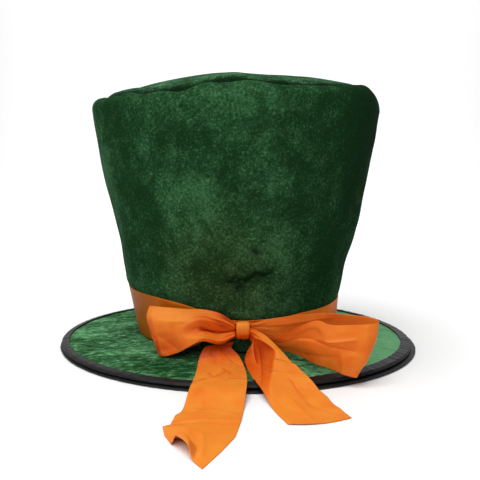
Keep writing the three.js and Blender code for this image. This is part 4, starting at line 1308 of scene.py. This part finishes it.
def satin(tree, shader, bright, deep, creases, shine):
    """Ribbon satin: painted deeper for shade in its folds, where it stands upright and in shadow,
    and deeper in its clouds; darker still in the deepest painted shade, with a broad soft shine."""
    face = put(tree, "ShaderNodeGroup", node_tree=satin_group())
    place = put(tree, "ShaderNodeUVMap", uv_map="ribbon").outputs["UV"]
    tree.links.new(place, face.inputs["Vector"])
    face.inputs["Creases"].default_value = creases
    fold = marked(tree, "fold")
    clouds = ranged(tree, face.outputs["Clouds"], 0.35, 0.7, at_high=0.3)
    shade = arithmetic(tree, "ADD", clouds, arithmetic(tree, "MULTIPLY", fold, 0.85), clamp=True)
    colour_here = blend(tree, shade, rgba(bright), rgba(deep))
    # Painted shade, darker still where it is deepest.
    deepest = ranged(tree, fold, 0.65, 1.0, at_high=0.85, soft=True)
    dark = rgba(0.5 * part for part in deep)
    tree.links.new(blend(tree, deepest, colour_here, dark), shader.inputs["Base Color"])
    rough = ranged(tree, face.outputs["Clouds"], 0.0, 1.0, 0.32, 0.46)
    tree.links.new(rough, shader.inputs["Roughness"])
    height = weighted(tree, (face.outputs["Creases"], 0.5), (face.outputs["Threads"], 0.02))
    emboss(tree, shader, 0.35, 0.0006, height)
    shader.inputs["Specular IOR Level"].default_value = shine


def binding_tape(tree, shader, black, rubbed):
    """Black tape: painted a little paler in long random patches, as sheen, with a fine grain and a soft
    shine, and painted darker in its groove, as shade.
    """
    place = object_place(tree)
    patches = noise(tree, place, 60.0, 4.0, 0.6)
    # Painted sheen in the paler patches; painted shade in the groove.
    face = blend(tree, ranged(tree, patches, 0.4, 0.7), rgba(black), rgba(rubbed))
    tree.links.new(blend(tree, marked(tree, "fold"), face, TAPE_IN_SHADE), shader.inputs["Base Color"])
    tree.links.new(ranged(tree, patches, 0.0, 1.0, 0.42, 0.6), shader.inputs["Roughness"])
    emboss(tree, shader, 0.3, 0.0003, noise(tree, place, 2200.0, 1.0))
    shader.inputs["Specular IOR Level"].default_value = 0.19


def studio_floor(tree, shader, pale):
    """Plain pale floor with a trace of cloudiness."""
    share = arithmetic(tree, "MULTIPLY", noise(tree, object_place(tree), 3.0, 2.0), 0.04)
    tree.links.new(blend(tree, share, rgba(pale), (0.8, 0.8, 0.8, 1.0)), shader.inputs["Base Color"])
    shader.inputs["Roughness"].default_value = 0.9


def velvet_cloth(name, colours, glint, patches):
    """Velvet in the crown's colours, with glints of its own and patches of its own size."""
    return material(name, velvet, dark=colours.velvet_dark, light=colours.velvet_light, glint=glint,
                    patches=patches, grains=460.0, bump=0.5, stretch=1.0)


def bow_satin(colours):
    """The satin of the bow and of its loose ends."""
    return material("satin_bow", satin, bright=colours.satin, deep=colours.satin_deep, creases=55.0,
                    shine=0.09)


# Operators


class HatOperator:
    """What the hat's operators share."""

    bl_options = {"REGISTER", "UNDO"}

    def execute(self, context):
        self.build(hat_form(context.scene.hat_sizes), context.scene.hat_colours)
        return {"FINISHED"}


class VELVET_HAT_OT_crown(HatOperator, bpy.types.Operator):
    """Adds the crown's side and its domed tip in crushed velvet"""

    bl_idname = "velvet_hat.crown"
    bl_label = "Crown"

    def build(self, form, colours):
        cloth = velvet_cloth("crushed_velvet_crown", colours, colours.velvet_glint, 14.0)
        side = finish_piece(crown_side(form), "crown_side", cloth)
        # Painted light: the tip's glints are brighter, for the top light on its upward face.
        tip_cloth = velvet_cloth("crushed_velvet_tip", colours, colours.tip_glint, 22.0)
        tip = finish_piece(crown_tip(form), "crown_tip", tip_cloth)


class VELVET_HAT_OT_brim(HatOperator, bpy.types.Operator):
    """Adds the padded velvet brim and the black tape round its edge"""

    bl_idname = "velvet_hat.brim"
    bl_label = "Brim"

    def build(self, form, colours):
        # Painted light: the brim's velvet is the crown's painted lighter, with brighter glints.
        cloth = material("crushed_velvet_brim", velvet, dark=colours.brim_dark,
                         light=colours.brim_light, glint=colours.brim_glint, patches=34.0,
                         grains=300.0, bump=0.6, stretch=2.2)
        pad = finish_piece(brim(form), "brim", cloth)
        tape = material("black_binding_tape", binding_tape, black=colours.tape,
                        rubbed=colours.tape_sheen)
        edge = finish_piece(brim_binding(form), "brim_binding", tape)


class VELVET_HAT_OT_band(HatOperator, bpy.types.Operator):
    """Adds the ribbon round the foot of the crown"""

    bl_idname = "velvet_hat.band"
    bl_label = "Band"

    def build(self, form, colours):
        # Painted shade: the band's satin takes its deeper, redder colours.
        cloth = material("satin_band", satin, bright=colours.band, deep=colours.band_deep,
                         creases=40.0, shine=0.04)
        piece = finish_piece(ribbon_band(form), "ribbon_band", cloth)


class VELVET_HAT_OT_bow(HatOperator, bpy.types.Operator):
    """Adds the bow's knot and its two loops"""

    bl_idname = "velvet_hat.bow"
    bl_label = "Bow"

    def build(self, form, colours):
        cloth = bow_satin(colours)
        knot = finish_piece(bow_knot(form), "bow_knot", cloth)
        left = bow_loop(
            form, "bow_loop_left_satin", LEFT_LOOP, form.left_loop, -1, creases=LEFT_LOOP_CREASES,
            hollows=LEFT_LOOP_HOLLOWS, seed=71, fullness=0.2, shaded=(0.8, 3.2, 0.45))
        right = bow_loop(
            form, "bow_loop_right_satin", RIGHT_LOOP, form.right_loop, 1, creases=RIGHT_LOOP_CREASES,
            hollows=RIGHT_LOOP_HOLLOWS, seed=72, fullness=0.06, shaded=(1.5, 6.0, 0.35))
        for piece, node, span in ((left, "bow_loop_left", form.left_loop),
                                  (right, "bow_loop_right", form.right_loop)):
            finish_piece(piece, node, cloth)


class VELVET_HAT_OT_tails(HatOperator, bpy.types.Operator):
    """Adds the ribbon's two loose ends, which lie over the brim"""

    bl_idname = "velvet_hat.tails"
    bl_label = "Loose ends"

    def build(self, form, colours):
        left = bow_tail(
            form, "tail_left_satin", LEFT_TAIL, form.left_tail, 0.0, creases=LEFT_TAIL_CREASES,
            hollows=LEFT_TAIL_HOLLOWS, seed=81, crisp_from=10.0, shaded=(2.4, 6.2, 0.8))
        right = bow_tail(
            form, "tail_right_satin", RIGHT_TAIL, form.right_tail, 5.5 * MM,
            creases=RIGHT_TAIL_CREASES, hollows=RIGHT_TAIL_HOLLOWS, seed=82, crisp_from=5.0,
            shaded=(0.5, 3.0, 0.3), before=(7.0, 8.2, 0.62))
        for piece, node, span in ((left, "tail_left", LEFT_TAIL_FLAT),
                                  (right, "tail_right", RIGHT_TAIL_FLAT)):
            finish_piece(piece, node, bow_satin(colours))


# Place of the camera, its pitch and roll in degrees, its lens and sensor in millimetres, and
# the studio's lights: place, size, strength and the point that each faces.
CAMERA_PLACE = (0.00156, -0.750, 0.1885)
CAMERA_PITCH, CAMERA_ROLL = -6.438, 0.556
CAMERA_LENS, CAMERA_SENSOR = 55.33, 36.0
LIGHTS = (
    ("key", (-0.45, -1.35, 1.05), 1.3, 11.0, (0, 0, 0.08)),
    ("top", (-0.25, -0.35, 1.90), 1.7, 31.0, (0, 0, 0.05)),
    ("backdrop", (0.0, 1.3, 2.4), 2.2, 60.0, (0, 3.4, 0.9)),
)
SKY_STRENGTH = 0.32

# How far the floor reaches each way, the radius of its sweep and the backdrop's height.
BACKDROP_REACH, BACKDROP_CURVE, BACKDROP_TOP = 3.2, 0.9, 4.0


class VELVET_HAT_OT_stage(HatOperator, bpy.types.Operator):
    """Adds a plain pale floor, soft lights and the camera"""

    bl_idname = "velvet_hat.stage"
    bl_label = "Stage"

    def build(self, form, colours):
        scene = bpy.context.scene
        floor = studio_sweep()
        plain = material("studio_floor", studio_floor, pale=colours.floor)
        floor.data.materials.append(plain)
        for name, place, size, power, target in LIGHTS:
            light = bpy.data.lights.new(name, "AREA")
            light.shape, light.size, light.energy = "DISK", size, power
            lamp = bpy.data.objects.new(name, light)
            lamp.matrix_world = facing(place, target)
            scene.collection.objects.link(lamp)
        world = bpy.data.worlds.new("studio")
        world.use_nodes = True
        sky = world.node_tree.nodes["Background"]
        sky.inputs["Color"].default_value = (1.0, 1.0, 1.0, 1.0)
        sky.inputs["Strength"].default_value = SKY_STRENGTH
        scene.world = world
        lens = bpy.data.cameras.new("camera")
        lens.lens, lens.sensor_width = CAMERA_LENS, CAMERA_SENSOR
        lens.clip_start, lens.clip_end = 0.01, 100
        camera = bpy.data.objects.new("camera", lens)
        upright = Matrix.Rotation(np.radians(90 + CAMERA_PITCH), 4, "X")
        roll = Matrix.Rotation(np.radians(CAMERA_ROLL), 4, "Z")
        camera.matrix_world = Matrix.Translation(CAMERA_PLACE) @ upright @ roll
        scene.collection.objects.link(camera)
        scene.camera = camera
        scene.view_settings.view_transform = "Standard"


def studio_sweep():
    """The floor, which sweeps up into a backdrop: level, then a quarter circle, then upright."""
    bend = np.linspace(0, np.pi / 2, 25)
    depth = BACKDROP_REACH - BACKDROP_CURVE + BACKDROP_CURVE * np.sin(bend)
    rise = BACKDROP_CURVE * (1 - np.cos(bend))
    depth = np.concatenate([[-BACKDROP_REACH], depth, [BACKDROP_REACH]])
    rise = np.concatenate([[0], rise, [BACKDROP_TOP]])
    across = np.array([-1.0, 1.0])[:, None] * 2 * BACKDROP_REACH
    return add_mesh("floor", np.stack(np.broadcast_arrays(across, depth, rise), -1))


def facing(place, target):
    """Matrix of a light at a place that shines at a target."""
    place = Matrix.Translation(place)
    way = Matrix.Translation(target).to_translation() - place.to_translation()
    return place @ way.to_track_quat("-Z", "Y").to_matrix().to_4x4()


class VELVET_HAT_PT_panel(bpy.types.Panel):
    """Sizes, colours and pieces of the hat"""

    bl_idname = "VELVET_HAT_PT_panel"
    bl_label = "Velvet Hat"
    bl_space_type = "VIEW_3D"
    bl_region_type = "UI"
    bl_category = "Hat"

    def draw(self, context):
        layout = self.layout
        for operator in OPERATORS:
            layout.operator(operator.bl_idname)
        for group_of, annotations in ((context.scene.hat_sizes, HatSizes.__annotations__),
                                      (context.scene.hat_colours, HatColours.__annotations__)):
            column = layout.column()
            for name in annotations:
                column.prop(group_of, name)


OPERATORS = (
    VELVET_HAT_OT_crown,
    VELVET_HAT_OT_brim,
    VELVET_HAT_OT_band,
    VELVET_HAT_OT_bow,
    VELVET_HAT_OT_tails,
    VELVET_HAT_OT_stage,
)
CLASSES = (HatSizes, HatColours, *OPERATORS, VELVET_HAT_PT_panel)


def register():
    """Registers the classes and gives the scene its sizes and colours."""
    for cls in CLASSES:
        bpy.utils.register_class(cls)
    bpy.types.Scene.hat_sizes = PointerProperty(type=HatSizes)
    bpy.types.Scene.hat_colours = PointerProperty(type=HatColours)


def unregister():
    """Takes the classes and the scene's sizes and colours away again."""
    del bpy.types.Scene.hat_sizes
    del bpy.types.Scene.hat_colours
    for cls in reversed(CLASSES):
        bpy.utils.unregister_class(cls)


def main():
    register()
    bpy.ops.velvet_hat.crown()
    bpy.ops.velvet_hat.brim()
    bpy.ops.velvet_hat.band()
    bpy.ops.velvet_hat.bow()
    bpy.ops.velvet_hat.tails()
    bpy.ops.velvet_hat.stage()


if __name__ == "__main__":
    main()
